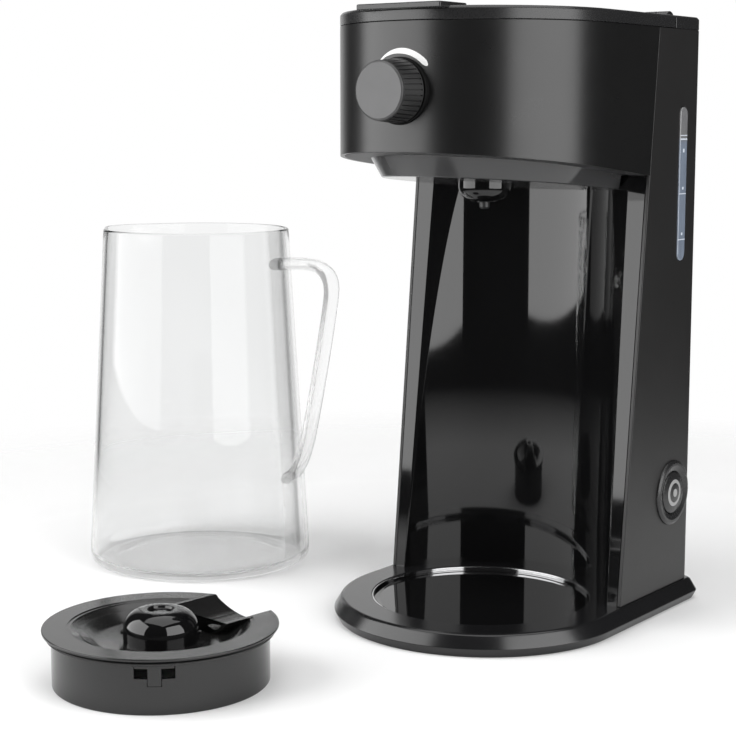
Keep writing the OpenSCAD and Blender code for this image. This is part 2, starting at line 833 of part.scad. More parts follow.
module strength_knob() color("#2b2b2d") difference() {
    union() {
        translate([0, knob_foot_y, knob_z]) rotate([90, 0, 0])
            cylinder(h = knob_len, r1 = knob_foot_r, r2 = knob_face_r);
        for (i = [0 : knob_ribs - 1]) translate([0, knob_foot_y, knob_z]) rotate([90, 0, 0])
            rotate([0, 0, i * 360 / knob_ribs]) translate([knob_foot_r - 1, -rib_w / 2, rib_end])
                rotate([0, -atan(knob_flare / knob_len), 0]) cube([rib_depth, rib_w, knob_len - 2 * rib_end]);
    }
    bar_y(0, knob_face_y + shaft_cover, far, knob_z, shaft_r);
    bar_y(0, -far, knob_face_y + knob_cap_t, knob_z, knob_face_r - knob_rim);
}

module knob_cap() color("#6e6e70") {
    r = knob_face_r - knob_rim - run_gap;
    bar_y(0, knob_face_y - knob_cap_proud, knob_face_y + knob_cap_t, knob_z, r);
}

module knob_shaft() color("silver") bar_y(0, knob_face_y + shaft_cover, gate_y, knob_z, shaft_r);

module strength_gate() color("#d8d2c4") difference() {
    bar_y(0, gate_y, gate_y + gate_t, knob_z, gate_r);
    bar_y(0, gate_y - cut, far, knob_z + gate_hole_ring, 1.8);
    bar_y(0, gate_y - cut, far, knob_z - gate_hole_ring, 1.2);
}

module switch_bezel() color("#1d1d1f") difference() {
    union() {
        bar_x(body_r - bezel_depth, body_r, button_y, button_z, bezel_neck_r);
        translate([body_r, button_y, button_z]) rotate([0, 90, 0])
            cylinder(h = bezel_proud, r1 = bezel_r, r2 = bezel_r - bezel_edge);
    }
    bar_x(0, far, button_y, button_z, button_r + button_gap);
    translate([body_r + bezel_proud - bezel_edge, button_y, button_z]) rotate([0, 90, 0]) cylinder(
        h = bezel_edge + cut, r1 = button_r + button_gap, r2 = button_r + button_gap + bezel_funnel);
}

module switch_housing() color("#dcd8cf") difference() {
    union() {
        translate([switch_face - switch_len, button_y - switch_half, button_z - switch_half])
            cube([switch_len, 2 * switch_half, 2 * switch_half]);
        translate([switch_face - switch_frame_t, button_y - switch_arm_half, button_z - switch_reach])
            cube([switch_frame_t, 2 * switch_arm_half, 2 * switch_reach]);
        for (z = [-switch_reach, switch_reach - switch_arm_t])
            translate([switch_face - switch_frame_t, button_y - switch_arm_half, button_z + z])
                cube([body_r - wall - switch_face + switch_frame_t, 2 * switch_arm_half, switch_arm_t]);
    }
    bar_x(switch_face - plunger_depth - button_travel - cut, far, button_y, button_z, plunger_r + run_gap);
}

module button_cap() color("#161617") difference() {
    bar_x(button_back, button_front, button_y, button_z, button_r);
    translate([button_front + button_dish_r - button_dish_depth, button_y, button_z])
        sphere(button_dish_r, $fn = 128);
}

module button_plunger() color("#e4e0d6")
    bar_x(switch_face - plunger_depth, button_back, button_y, button_z, plunger_r);

module button_spring() color("silver") translate([switch_face, button_y, button_z]) rotate([0, 90, 0])
    coil(plunger_r + 2.5, spring_wire, button_back - switch_face, 3);

// Space of the tank, drawn in by its wall
module tank_space(inset, z_low, z_top) {
    translate([0, 0, z_low]) linear_extrude(z_top - z_low) intersection() {
        body_outline(tank_inset + inset);
        difference() {
            translate([tank_left + inset, tank_tip_y + inset]) square(far);
            circle(bay_out_r + tank_bay_gap + inset, $fn = 128);
        }
    }
    translate([0, 0, tank_upper_z + inset]) linear_extrude(z_top - tank_upper_z - inset) intersection() {
        body_outline(tank_inset + inset);
        translate([tank_left + inset, tank_upper_y + inset]) square(far);
    }
}

module water_tank() color("#9fb2bd") difference() {
    union() {
        tank_space(0, tank_low, tank_high);
        translate([inlet_x, heater_y, valve_case_high]) cylinder(h = spigot_len + tank_t, r = hose_r);
    }
    tank_space(tank_t, tank_low + tank_t, tank_high + cut);
    translate([inlet_x, heater_y, 0]) cylinder(h = tank_low + 2 * tank_t, r = hose_bore_r);
}

module water_window() color("#a8b6c4") {
    intersection() {
        window_shape(0);
        translate([body_r - wall, 0, 0]) cube([wall + window_proud, far, far]);
    }
    intersection() {
        window_shape(lens_lip);
        translate([body_r - wall - lens_t, 0, 0]) cube([lens_t, far, far]);
    }
}

module riser_pipe() color("#d9d9d4") translate([riser_at[0], riser_at[1], riser_low]) difference() {
    cylinder(h = riser_top - riser_low, r = riser_r);
    translate([0, 0, -cut]) cylinder(h = far, r = riser_bore_r);
}

module heater_run(r, spare) {
    for (z = [heater_low, heater_high]) bar_x(heater_left - spare, heater_right, heater_y, z, r);
    translate([heater_right, heater_y, heater_low + heater_bend]) rotate([90, 0, 0])
        rotate([0, 0, -90]) rotate_extrude(angle = 180) translate([heater_bend, 0]) circle(r);
}

module heater_tube() color("#c4c6c8") difference() {
    heater_run(heater_r, 0);
    heater_run(heater_bore_r, cut);
}

module heater_bracket() color("#a9abad") difference() {
    union() {
        translate([-bracket_t / 2, heater_y - heater_r - bracket_edge, base_h])
            cube([bracket_t, 2 * (heater_r + bracket_edge), heater_high + heater_r + bracket_edge - base_h]);
        translate([-bracket_foot[0] / 2, heater_y - heater_r - bracket_edge, base_h])
            cube([bracket_foot[0], 2 * (heater_r + bracket_edge), bracket_foot[1]]);
    }
    for (z = [heater_low, heater_high]) bar_x(-far, far, heater_y, z, heater_r + run_gap);
}

module thermostat() color("#cfcac0") difference() {
    translate([clip_x - clip_w / 2, heater_y - clip_w / 2, heater_high + clip_grip])
        cube([clip_w, clip_w, clip_h]);
    bar_x(0, far, heater_y, heater_high, heater_r + run_gap);
}

module thermal_fuse() color("#b9a06a") difference() {
    translate([clip_x - clip_w / 2, heater_y - clip_w / 2, heater_low - clip_grip - clip_h])
        cube([clip_w, clip_w, clip_h]);
    bar_x(0, far, heater_y, heater_low, heater_r + run_gap);
}

module inlet_run(r, spare) {
    bar_x(heater_left - hose_end, heater_left + spare, heater_y, heater_high, r);
    translate([heater_left - hose_end, heater_y, heater_high + hose_bend]) rotate([90, 0, 0])
        elbow(r, hose_bend);
    translate([inlet_x, heater_y, heater_high + hose_bend]) cylinder(h = hose_collar + spare, r = r);
}

module inlet_hose() color("#d6d2c6") difference() {
    inlet_run(hose_r, 0);
    inlet_run(hose_bore_r, cut);
}

module outlet_run(r, spare) {
    corner_x = riser_at[0] + hose_bend;
    corner_y = riser_at[1] + hose_bend;
    bar_x(corner_x, heater_left + spare, heater_y, heater_low, r);
    translate([corner_x, heater_y - hose_bend, heater_low]) rotate([0, 0, -90]) elbow(r, hose_bend);
    bar_y(riser_at[0], corner_y, heater_y - hose_bend, heater_low, r);
    translate([riser_at[0], corner_y, heater_low + hose_bend]) rotate([90, 0, 90]) elbow(r, hose_bend);
    translate([riser_at[0], riser_at[1], heater_low + hose_bend]) cylinder(h = hose_collar + spare, r = r);
}

module outlet_hose() color("#d6d2c6") difference() {
    outlet_run(hose_r, 0);
    outlet_run(hose_bore_r, cut);
}

module check_valve() color("#e6e2d8") translate([inlet_x, heater_y, valve_case_low]) difference() {
    cylinder(h = valve_case_high - valve_case_low, r = valve_case_r);
    translate([0, 0, -cut]) cylinder(h = far, r = hose_bore_r);
}

module cord_gland() color("#151516") difference() {
    union() {
        bar_y(gland_x, body_rear, body_rear + gland_flange_t, gland_z, gland_flange_r);
        bar_y(gland_x, body_rear - 2 * wall, body_rear, gland_z, gland_r);
        bar_y(gland_x, body_rear - 2 * wall, body_rear - wall, gland_z, gland_flange_r);
    }
    bar_y(gland_x, 0, far, gland_z, gland_bore_r);
}

// One of the two sides of the hinge
module knuckle(x, len) {
    bar_x(x, x + len, hinge_y, hinge_z, knuckle_r);
}

module top_cap() {
    sloped_slab(body_r, body_cy, body_rear, body_corner, top_z - lid_bevel_h, top_z, 0, lid_bevel);
    translate([0, 0, seam_z]) {
        linear_extrude(deck_t - lid_bevel_h) body_outline(0);
        linear_extrude(deck_t - lid_bevel_h * 3 / 4) body_outline(lid_bevel / 2);
    }
}

module top_deck() color("#2e2e30") difference() {
    union() {
        intersection() {
            top_cap();
            translate([-far / 2, deck_front, 0]) cube([far, far, far]);
        }
        intersection() {
            wall_ring(seam_z - skirt_h, skirt_h + cut, skirt_inset, skirt_inset + skirt_t);
            translate([-far / 2, deck_front, 0]) cube([far, far, far]);
        }
        for (side = [0, 1]) mirror([side, 0, 0]) {
            knuckle(deck_knuckle_x, knuckle_len);
            translate([deck_knuckle_x, hinge_y - knuckle_r + knuckle_ease, seam_z])
                cube([knuckle_len, 2 * (knuckle_r - knuckle_ease), hinge_z - seam_z]);
        }
    }
    for (side = [0, 1]) mirror([side, 0, 0]) {
        translate([knuckle_in - knuckle_gap, deck_front - cut, seam_z - far / 2])
            cube([knuckle_len + 1.9 * knuckle_gap, hinge_y + knuckle_r + free_gap - deck_front + cut, far]);
        bar_x(0, deck_knuckle_x + knuckle_len - knuckle_gap, hinge_y, hinge_z, pin_r + run_gap);
    }
}

module hinge_pins() color("silver") for (side = [0, 1]) mirror([side, 0, 0])
    bar_x(knuckle_in + pin_end, deck_knuckle_x + knuckle_len - pin_end, hinge_y, hinge_z, pin_r);

module top_lid() color("#2a2a2c") difference() {
    union() {
        difference() {
            intersection() {
                top_cap();
                translate([-far / 2, -far + lid_rear, lid_z]) cube([far, far, far]);
            }
            difference() {
                translate([0, 0, lid_z - cut]) linear_extrude(top_z - lid_roof - lid_z + cut)
                    intersection() {
                        body_outline(wall);
                        translate([-far / 2, -far + lid_rear - wall]) square(far);
                    }
                for (p = lid_bosses) translate([p[0], p[1], liner_z + liner_t])
                    cylinder(h = far, r = lid_boss_r);
            }
        }
        translate([-lip_w / 2, band_front - lip_reach, top_z + lip_proud - lip_t])
            cube([lip_w, lip_depth, lip_t]);
        for (side = [0, 1]) mirror([side, 0, 0]) {
            knuckle(knuckle_in, knuckle_len);
            translate([knuckle_in, lid_rear - knuckle_arm, hinge_z - knuckle_arm_drop])
                cube([knuckle_len, hinge_y - lid_rear + knuckle_arm, knuckle_arm]);
        }
    }
    for (side = [0, 1]) mirror([side, 0, 0]) bar_x(knuckle_in - cut, far, hinge_y, hinge_z, pin_r + run_gap);
}

module lid_liner() color("#1c1c1e") difference() {
    union() {
        translate([0, 0, liner_z]) linear_extrude(liner_t) intersection() {
            body_outline(liner_inset);
            translate([-far / 2, -far + lid_rear - wall - slip_gap]) square(far);
        }
        intersection() {
            wall_ring(liner_z - liner_rim_h, liner_rim_h + cut, rim_inset, rim_inset + liner_rim_t);
            translate([-far / 2, -far + liner_rim_rear, 0]) cube(far);
        }
        translate([riser_at[0], riser_at[1], riser_top + slip_gap])
            cylinder(h = liner_z - riser_top, r = boot_r);
    }
    translate([riser_at[0], riser_at[1], 0]) cylinder(h = liner_z + liner_t / 2, r = riser_bore_r);
    cylinder(h = liner_z + liner_t / 2, r = riser_bore_r);
}

module spray_head() color("#3a3a3d") difference() {
    translate([0, 0, liner_z - spray_h]) cylinder(h = spray_h, r = spray_r);
    translate([0, 0, liner_z - spray_h + skin]) cylinder(h = far, r = spray_r - skin);
    for (i = [0 : spray_holes - 1], ring = spray_rings) rotate([0, 0, i * 360 / spray_holes])
        translate([ring, 0, 0]) cylinder(h = far, r = spray_hole_r);
}

// The pitcher's outside, and its inside at a wall
module pitcher_solid() {
    rotate_extrude($fn = 128) polygon(concat(
        [[0, 0]],
        arc_points([pitcher_low_r - pitcher_corner, pitcher_corner], pitcher_corner, -90, 0, 6),
        [[pitcher_top_r, pitcher_h], [0, pitcher_h]]));
    translate([spout_x, 0, pitcher_h - spout_h]) cylinder(h = spout_h, r1 = spout_tip_r, r2 = spout_r);
}

module pitcher_hollow() {
    bend = pitcher_corner - glass_t / 2;
    low = pitcher_low_r - glass_t;
    rotate_extrude($fn = 128) polygon(concat(
        [[0, pitcher_floor_t]],
        arc_points([low - bend, pitcher_floor_t + bend], bend, -90, 0, 6),
        [[pitcher_top_r - glass_t, pitcher_h], [pitcher_top_r - glass_t, pitcher_h + cut],
            [0, pitcher_h + cut]]));
    spread = (spout_r - spout_tip_r) / spout_h;
    translate([spout_x, 0, pitcher_h - spout_h + glass_t])
        cylinder(h = spout_h - glass_t + cut, r1 = spout_tip_r - glass_t / 2,
            r2 = spout_tip_r - glass_t / 2 + spread * (spout_h - glass_t + cut));
}

module at_pitcher() {
    translate([pitcher_x, pitcher_y, 0]) rotate([0, 0, handle_turn]) children();
}

module pitcher_glass() color("#dfe7ea", 0.4) at_pitcher() difference() {
    pitcher_solid();
    pitcher_hollow();
}

module handle_sweep() {
    path = concat([for (c = handle_curves, i = [0 : handle_steps - 1]) cubic(c, i / handle_steps)],
        [handle_curves[2][3]]);
    points = [for (i = [0 : len(path) - 1], j = [0 : handle_sides - 1])
        let (d = heading(path, i), turn = 360 * j / handle_sides)
        [path[i][0] - d[1] * handle_half_t * cos(turn), handle_half_w * sin(turn),
            path[i][1] + d[0] * handle_half_t * cos(turn)]];
    polyhedron(points, tube_faces(len(path), handle_sides), convexity = 6);
}

module pitcher_handle() color("#dfe7ea", 0.4) at_pitcher() difference() {
    handle_sweep();
    pitcher_solid();
}

module at_cap() {
    translate([cap_x, cap_y, 0]) children();
}

// Box on the skirt of the pitcher lid, at the latch
module latch_box(w, h, depth) {
    rotate([0, 0, latch_turn]) translate([cap_skirt_r - depth, -w / 2, latch_top - h])
        cube([2 * depth, w, h]);
}

// Round bar along the pour trough
module trough_bar(r) {
    bar_y(0, trough_start, far, cap_h + trough_lift, r);
}

module pitcher_cap() color("#1f1f21") at_cap() difference() {
    union() {
        rotate_extrude($fn = 128) polygon([
            [cap_flange_r, cap_under], [cap_flange_r, cap_h - cap_edge], [cap_flange_r - cap_edge, cap_h],
            [cap_dish_r, cap_h], [cap_dish_r - 5, cap_h - 3], [cap_dish_r - 13, cap_dish_low + 1.6],
            [dome_r + 2, cap_dish_low], [dome_r - 4, cap_dish_low], [dome_r - 4, cap_dish_low - cap_t],
            [dome_r + 2.2, cap_dish_low - cap_t], [cap_dish_r - 12.4, cap_dish_low + 1.6 - cap_t],
            [cap_dish_r - 3.6, cap_h - 3 - cap_t], [cap_dish_r + 1, cap_under]
        ]);
        intersection() {
            trough_bar(trough_r + trough_t);
            cylinder(h = cap_h, r = cap_flange_r - 0.5, $fn = 128);
        }
    }
    trough_bar(trough_r);
}

module cap_skirt() color("#1f1f21") at_cap() difference() {
    cylinder(h = cap_under, r = cap_skirt_r, $fn = 128);
    translate([0, 0, -cut]) cylinder(h = far, r = cap_skirt_r - cap_t, $fn = 128);
    trough_bar(trough_r + trough_t);
    latch_box(latch_slot_w, latch_slot_h, 3 * cap_t);
    latch_box(latch_w + 2 * slip_gap, latch_slot_h + latch_drop, 3 * cap_t);
}

module cap_latch() color("#171718") at_cap() difference() {
    intersection() {
        union() {
            latch_box(latch_slot_w - 2 * slip_gap, latch_bar_h, 2 * cap_t);
            latch_box(latch_w, latch_slot_h + latch_drop - slip_gap, 2 * cap_t);
        }
        cylinder(h = far, r = cap_skirt_r + latch_proud, $fn = 128);
    }
    cylinder(h = far, r = cap_skirt_r - cap_t, $fn = 128);
}

module cap_dome() color("#0a0a0b") at_cap() difference() {
    pad = dome_top - dimple_depth;
    round_at = [dome_r - dome_bend, dome_top - dome_bend];
    rotate_extrude($fn = 128) polygon(concat(
        [[dome_r - cap_t, cap_dish_low], [dome_r, cap_dish_low]],
        arc_points(round_at, dome_bend, 0, 90, 8),
        [[dimple_r + 0.8, dome_top], [dimple_r, pad], [0, pad], [0, pad - cap_t],
            [dimple_r + 1.4, pad - cap_t], [round_at[0], dome_top - cap_t]],
        arc_points(round_at, dome_bend - cap_t, 90, 0, 8)));
    for (i = [0 : dimple_holes - 1]) rotate([0, 0, i * 360 / dimple_holes])
        translate([dimple_r - 2, 0, 0]) cylinder(h = far, r = dimple_hole_r);
}

module cap_gasket() color("#c8c6c0") at_cap() difference() {
    translate([0, 0, cap_under - gasket_t]) cylinder(h = gasket_t, r = cap_skirt_r + gasket_w, $fn = 128);
    cylinder(h = far, r = cap_skirt_r, $fn = 128);
    trough_bar(trough_r + trough_t);
}

base_plate();
bottom_cover();
rubber_feet();
base_screws();
drip_plate();
tower_left();
tower_right();
rear_cover();
tower_screws();
dock_wall();
head_shell();
head_floor();
outlet_collar();
inner_deck();
brew_basket();
basket_filter();
drip_outlet();
valve_plunger();
valve_seal();
valve_spring();
knob_bushing();
strength_knob();
knob_cap();
knob_shaft();
strength_gate();
switch_bezel();
switch_housing();
button_cap();
button_plunger();
button_spring();
water_tank();
water_window();
riser_pipe();
heater_tube();
heater_bracket();
thermostat();
thermal_fuse();
inlet_hose();
outlet_hose();
check_valve();
cord_gland();
top_deck();
hinge_pins();
top_lid();
lid_liner();
spray_head();
pitcher_glass();
pitcher_handle();
pitcher_cap();
cap_skirt();
cap_dome();
cap_gasket();
cap_latch();
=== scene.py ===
"""Looks of an iced coffee maker with its glass pitcher and pitcher lid, in metres."""

import math

import bmesh
import bpy
from bpy.props import FloatProperty, FloatVectorProperty, IntProperty, PointerProperty
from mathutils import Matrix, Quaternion, Vector


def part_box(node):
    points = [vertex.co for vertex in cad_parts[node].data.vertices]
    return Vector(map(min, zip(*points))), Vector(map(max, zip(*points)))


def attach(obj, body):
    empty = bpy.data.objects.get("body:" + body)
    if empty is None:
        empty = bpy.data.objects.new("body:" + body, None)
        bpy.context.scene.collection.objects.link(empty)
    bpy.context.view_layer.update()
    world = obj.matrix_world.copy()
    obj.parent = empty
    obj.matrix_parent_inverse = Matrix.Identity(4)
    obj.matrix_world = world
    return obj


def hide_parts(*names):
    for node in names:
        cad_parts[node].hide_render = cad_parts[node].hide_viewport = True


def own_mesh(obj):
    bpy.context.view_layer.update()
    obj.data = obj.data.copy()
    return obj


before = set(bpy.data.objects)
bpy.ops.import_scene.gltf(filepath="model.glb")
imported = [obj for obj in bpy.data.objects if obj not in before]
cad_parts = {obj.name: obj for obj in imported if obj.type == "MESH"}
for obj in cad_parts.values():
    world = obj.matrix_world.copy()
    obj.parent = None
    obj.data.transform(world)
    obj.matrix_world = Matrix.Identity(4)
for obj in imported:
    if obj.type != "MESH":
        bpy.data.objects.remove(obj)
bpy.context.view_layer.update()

bl_info = {
    "name": "Iced coffee maker",
    "version": (1, 0, 0),
    "blender": (4, 5, 0),
    "location": "3D View > Sidebar > Coffee maker",
    "description": "Models the visible pieces of an iced coffee maker on its packed solids",
    "category": "Object",
}


def middle_of(node):
    """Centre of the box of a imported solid."""
    low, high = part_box(node)
    return (low + high) / 2


MM = 0.001
BASE_LOW, BASE_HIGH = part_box("base_plate")
SIDE_LOW, SIDE_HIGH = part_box("tower_right")
HEAD_LOW, HEAD_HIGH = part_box("head_shell")
LID_LOW, LID_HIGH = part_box("top_lid")
DECK_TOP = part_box("top_deck")[1].z
KNOB_LOW, KNOB_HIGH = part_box("strength_knob")
KNOB_Z = (KNOB_LOW.z + KNOB_HIGH.z) / 2
RING_AT = middle_of("switch_bezel")
WINDOW_LOW, WINDOW_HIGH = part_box("water_window")
WINDOW_AT = middle_of("water_window")
OUTLET_LOW, OUTLET_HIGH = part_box("drip_outlet")
GLASS_LOW, GLASS_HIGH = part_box("pitcher_glass")
GLASS_RADIUS = (GLASS_HIGH.y - GLASS_LOW.y) / 2
GLASS_AT = Vector((GLASS_HIGH.x - GLASS_RADIUS, (GLASS_LOW.y + GLASS_HIGH.y) / 2, 0))
HANDLE_TURN, SPOUT_TURN = math.radians(8), math.radians(188)

# In millimetres: how much the pitcher narrows to its rim, and the inside and outside of its lid's trough
GLASS_TAPER, TROUGH, CHANNEL = 13, 31.9, 33.7


def length(name, text, value):
    return FloatProperty(name=name, description=text, default=value, precision=5, unit="LENGTH")


def turn(name, text, degrees):
    return FloatProperty(name=name, description=text, default=math.radians(degrees), subtype="ANGLE")


def colour(name, text, *value):
    return FloatVectorProperty(
        name=name, description=text, default=value, size=3, min=0, max=1, subtype="COLOR"
    )


class MakerSizes(bpy.types.PropertyGroup):
    """Lengths and angles of the visible pieces."""

    body_radius: length("Body radius", "Radius of the round front of the head", SIDE_HIGH.x)
    body_centre: length("Body centre", "Place of the head's round front along Y", HEAD_LOW.y + SIDE_HIGH.x)
    body_corner: length("Body corner", "Radius of the rear corners of the tower", 8 * MM)
    wall: length("Shell wall", "Thickness of the housing shells", 2.5 * MM)
    underside: length("Underside height", "Height of the sloping underside over the drip well", 271.5 * MM)
    slope: turn("Underside slope", "Slope of the underside of the head", 6.3)
    base_corner: length("Base corner", "Radius of the rear corners of the base", 10 * MM)
    base_bevel: length("Base bevel", "How far the top of the base is drawn in", 4.5 * MM)
    base_lip: length("Base lip", "How far the foot of the base is drawn in", 2.4 * MM)
    well_radius: length("Well radius", "Radius of the drip well", 66 * MM)
    bay_radius: length("Bay radius", "Radius of the concave bay wall", 77.5 * MM)
    strip_foot: length("Strip foot", "Inner edge of the flat strip on each wing, at its foot", 74 * MM)
    strip_head: length("Strip head", "Inner edge of the flat strip on each wing, under the head", 69 * MM)
    wing_turn: turn("Wing turn", "How far each wing turns in towards the bay", 28)
    collar_radius: length("Collar radius", "Radius of the collar where it meets the head", 67 * MM)
    collar_taper: length("Collar taper", "How far the foot of the collar is drawn in", 7 * MM)
    collar_drop: length("Collar drop", "Height of the collar", 11.6 * MM)
    deck: length("Deck", "Thickness of the lid and of the rear deck", 7.7 * MM)
    knuckle: length("Knuckle", "Radius of the hinge knuckles", 5.5 * MM)
    lid_bevel: length("Lid bevel", "How far the top edge of the lid is drawn in", 1.3 * MM)
    lip_width: length("Finger lip", "Width of the finger lip of the lid", 56 * MM)
    groove_depth: length("Groove depth", "Depth of the grooves round the knob", 0.75 * MM)
    grooves: IntProperty(name="Grooves", description="Number of grooves round the knob", default=36, min=12)
    glass_wall: length("Glass wall", "Thickness of the pitcher's glass", 2.8 * MM)
    spout: length("Spout", "How far the spout is drawn out of the rim", 7 * MM)
    edge: length("Edge", "Rounding of the moulded edges", 0.6 * MM)


class MakerColours(bpy.types.PropertyGroup):
    """Colours of the finishes."""

    gloss: colour("Gloss black", "Bay wall, drip plate and dome", 0.004, 0.004, 0.0042)
    base: colour("Base black", "Moulded base", 0.007, 0.007, 0.0075)
    satin: colour("Satin black", "Band of the head", 0.006, 0.006, 0.0061)
    panel: colour("Panel black", "Side panels and back", 0.010, 0.0097, 0.0097)
    trim: colour("Trim grey", "Lid, deck, and the button and its ring", 0.014, 0.014, 0.0145)
    collar: colour("Collar grey", "Collar under the head", 0.045, 0.045, 0.046)
    face: colour("Face grey", "Face of the knob", 0.08, 0.08, 0.081)
    cap: colour("Pitcher lid grey", "Pitcher lid", 0.011, 0.011, 0.011)
    window: colour("Window blue", "Water window", 0.16, 0.19, 0.24)
    print: colour("Print white", "Scale over the knob", 0.86, 0.86, 0.85)
    sign: colour("Sign grey", "Sign on the button", 0.26, 0.26, 0.26)
    glass: colour("Glass", "Glass of the pitcher", 0.935, 0.938, 0.938)
    pale: colour("Natural plastic", "Heat resistant parts inside", 0.6, 0.58, 0.53)


class Socket:
    """A shader socket on which Python's arithmetic adds Math nodes."""

    def __init__(self, finish, socket):
        self.finish, self.socket = finish, socket

    def math(self, operation, first, second):
        return self.finish.node("ShaderNodeMath", {"operation": operation}, {0: first, 1: second})

    def __add__(self, other):
        return self.math("ADD", self, other)

    def __rsub__(self, other):
        return self.math("SUBTRACT", other, self)

    def __mul__(self, other):
        return self.math("MULTIPLY", self, other)

    __radd__ = __add__
    __rmul__ = __mul__


class Nodes:
    """A node tree, and its nodes as they are added."""

    def __init__(self, tree):
        self.tree = tree

    def feed(self, socket, value):
        if isinstance(value, Socket):
            self.tree.links.new(value.socket, socket)
        else:
            socket.default_value = value

    def node(self, kind, settings=None, inputs=None, output=0):
        made = self.tree.nodes.new(kind)
        for key, value in (settings or {}).items():
            setattr(made, key, value)
        for key, value in (inputs or {}).items():
            self.feed(found(made.inputs, key), value)
        return Socket(self, found(made.outputs, output))

    def ramp(self, value, start, end, least=0.0):
        """A value that rises from least to 1 between two limits."""
        return self.node("ShaderNodeMapRange", inputs={
            "Value": value, "From Min": start, "From Max": end, "To Min": least})

    def part(self, vector, axis):
        return self.node("ShaderNodeSeparateXYZ", inputs={0: vector}, output=axis)

    def size(self, vector):
        return self.node("ShaderNodeVectorMath", {"operation": "LENGTH"}, {0: vector}, "Value")


class Finish(Nodes):
    """A material with one main shader."""

    def __init__(self, name, **constants):
        self.material = bpy.data.materials.new(name)
        self.material.use_nodes = True
        super().__init__(self.material.node_tree)
        self.shader = self.tree.nodes["Principled BSDF"]
        for socket, value in constants.items():
            self.shade(socket.replace("_", " "), value)

    def shade(self, socket, value):
        self.feed(self.shader.inputs[socket], value)

    def place(self, centre=(0, 0, 0), scale=(1, 1, 1), rotation=(0, 0, 0)):
        """Object coordinates measured from a centre."""
        here = self.node("ShaderNodeTexCoord", output="Object")
        return self.node(
            "ShaderNodeMapping", {"vector_type": "TEXTURE"},
            {"Vector": here, "Location": centre, "Rotation": rotation, "Scale": scale},
        )

    def noise(self, place, scale, detail=2.0):
        return self.node("ShaderNodeTexNoise", inputs={"Vector": place, "Scale": scale, "Detail": detail})

    def blend(self, factor, *tones):
        first, second = (tone if isinstance(tone, Socket) else (*tone, 1) for tone in tones)
        return self.node(
            "ShaderNodeMix", {"data_type": "RGBA"},
            {"Factor_Float": factor, "A_Color": first, "B_Color": second}, "Result_Color",
        )

    def tint(self, factor, tone, low, high=1.0):
        """The base colour, which drifts between two shares of a tone."""
        self.shade("Base Color", self.blend(factor, shaded(tone, low), shaded(tone, high)))

    def bump(self, height, strength, depth):
        inputs = {"Height": height, "Strength": strength, "Distance": depth}
        self.shade("Normal", self.node("ShaderNodeBump", inputs=inputs, output="Normal"))


def found(sockets, key):
    """A socket by its number, its identifier or its name."""
    if isinstance(key, int):
        return sockets[key]
    return next(s for s in sockets if key in (s.identifier, s.name))


def shaded(tone, share):
    return tuple(min(1.0, c * share) for c in tone)


def moulded(name, tone, rough, grain=900, depth=0.02, spread=0.05, **constants):
    """Moulded plastic with a fine grain, slow colour drift and faint handling marks."""
    skin = Finish(name, **constants)
    here = skin.place()
    fine = skin.noise(here, grain, 3)
    slow = skin.noise(here, 14, 2)
    marks = skin.noise(here, 65, 4)
    skin.tint(slow, tone, 0.8, 1.2)
    skin.shade("Roughness", rough - spread + fine * spread + marks * spread)
    skin.bump(fine, depth, 0.02 * MM)
    return skin.material


def polished(name, tone, rough):
    """Polished plastic with a slight flow in its surface and a trace of dust."""
    skin = Finish(name)
    here = skin.place()
    flow = skin.noise(here, 22, 1)
    dust = skin.noise(here, 240, 5)
    skin.tint(flow, tone, 0.85, 1.15)
    skin.shade("Roughness", rough + dust * 0.03 + flow * 0.02)
    skin.bump(flow, 0.04, 0.05 * MM)
    return skin.material


def metal(name, tone, rough, grain=(900, 900, 60)):
    """Bare or plated metal with drawn streaks."""
    skin = Finish(name, Metallic=1.0)
    here = skin.place(scale=tuple(1 / g for g in grain))
    streak = skin.noise(here, 1, 3)
    skin.tint(streak, tone, 0.82, 1.1)
    skin.shade("Roughness", rough + streak * 0.12)
    skin.bump(streak, 0.03, 0.02 * MM)
    return skin.material


def spun(name, tone, centre):
    """Spun face of the knob, with fine rings about its axis."""
    skin = Finish(name, Metallic=0.35)
    here = skin.place(centre)
    radius = skin.size(here)
    rings = skin.noise(skin.node("ShaderNodeCombineXYZ", inputs={"X": radius}), 2600, 2)
    drift = skin.noise(here, 90, 3)
    skin.tint(drift, tone, 0.88, 1.12)
    skin.shade("Roughness", 0.36 + rings * 0.12)
    skin.bump(rings, 0.06, 0.03 * MM)
    return skin.material


def mesh_steel(name):
    """Woven steel mesh of the filter."""
    skin = Finish(name, Metallic=1.0)
    here = skin.place()
    over, under = (
        skin.node("ShaderNodeTexWave", {"bands_direction": way}, {"Vector": here, "Scale": 260.0}, "Fac")
        for way in "XY"
    )
    weave = over * under
    skin.shade("Base Color", skin.blend(weave, (0.12, 0.12, 0.12), (0.62, 0.62, 0.61)))
    skin.shade("Roughness", 0.5 - weave * 0.2)
    skin.bump(weave, 0.4, 0.1 * MM)
    return skin.material


def clear(name, tone, rough, ior, weight=1.0, **place):
    """Clear glass or plastic, with faint ripples from its forming."""
    skin = Finish(name, Transmission_Weight=weight, IOR=ior)
    here = skin.place(**place)
    ripple = skin.noise(here, 26, 1)
    skin.tint(ripple, tone, 0.995)
    skin.shade("Roughness", rough + ripple * 0.004)
    skin.bump(ripple, 0.03, 0.1 * MM)
    return skin, here


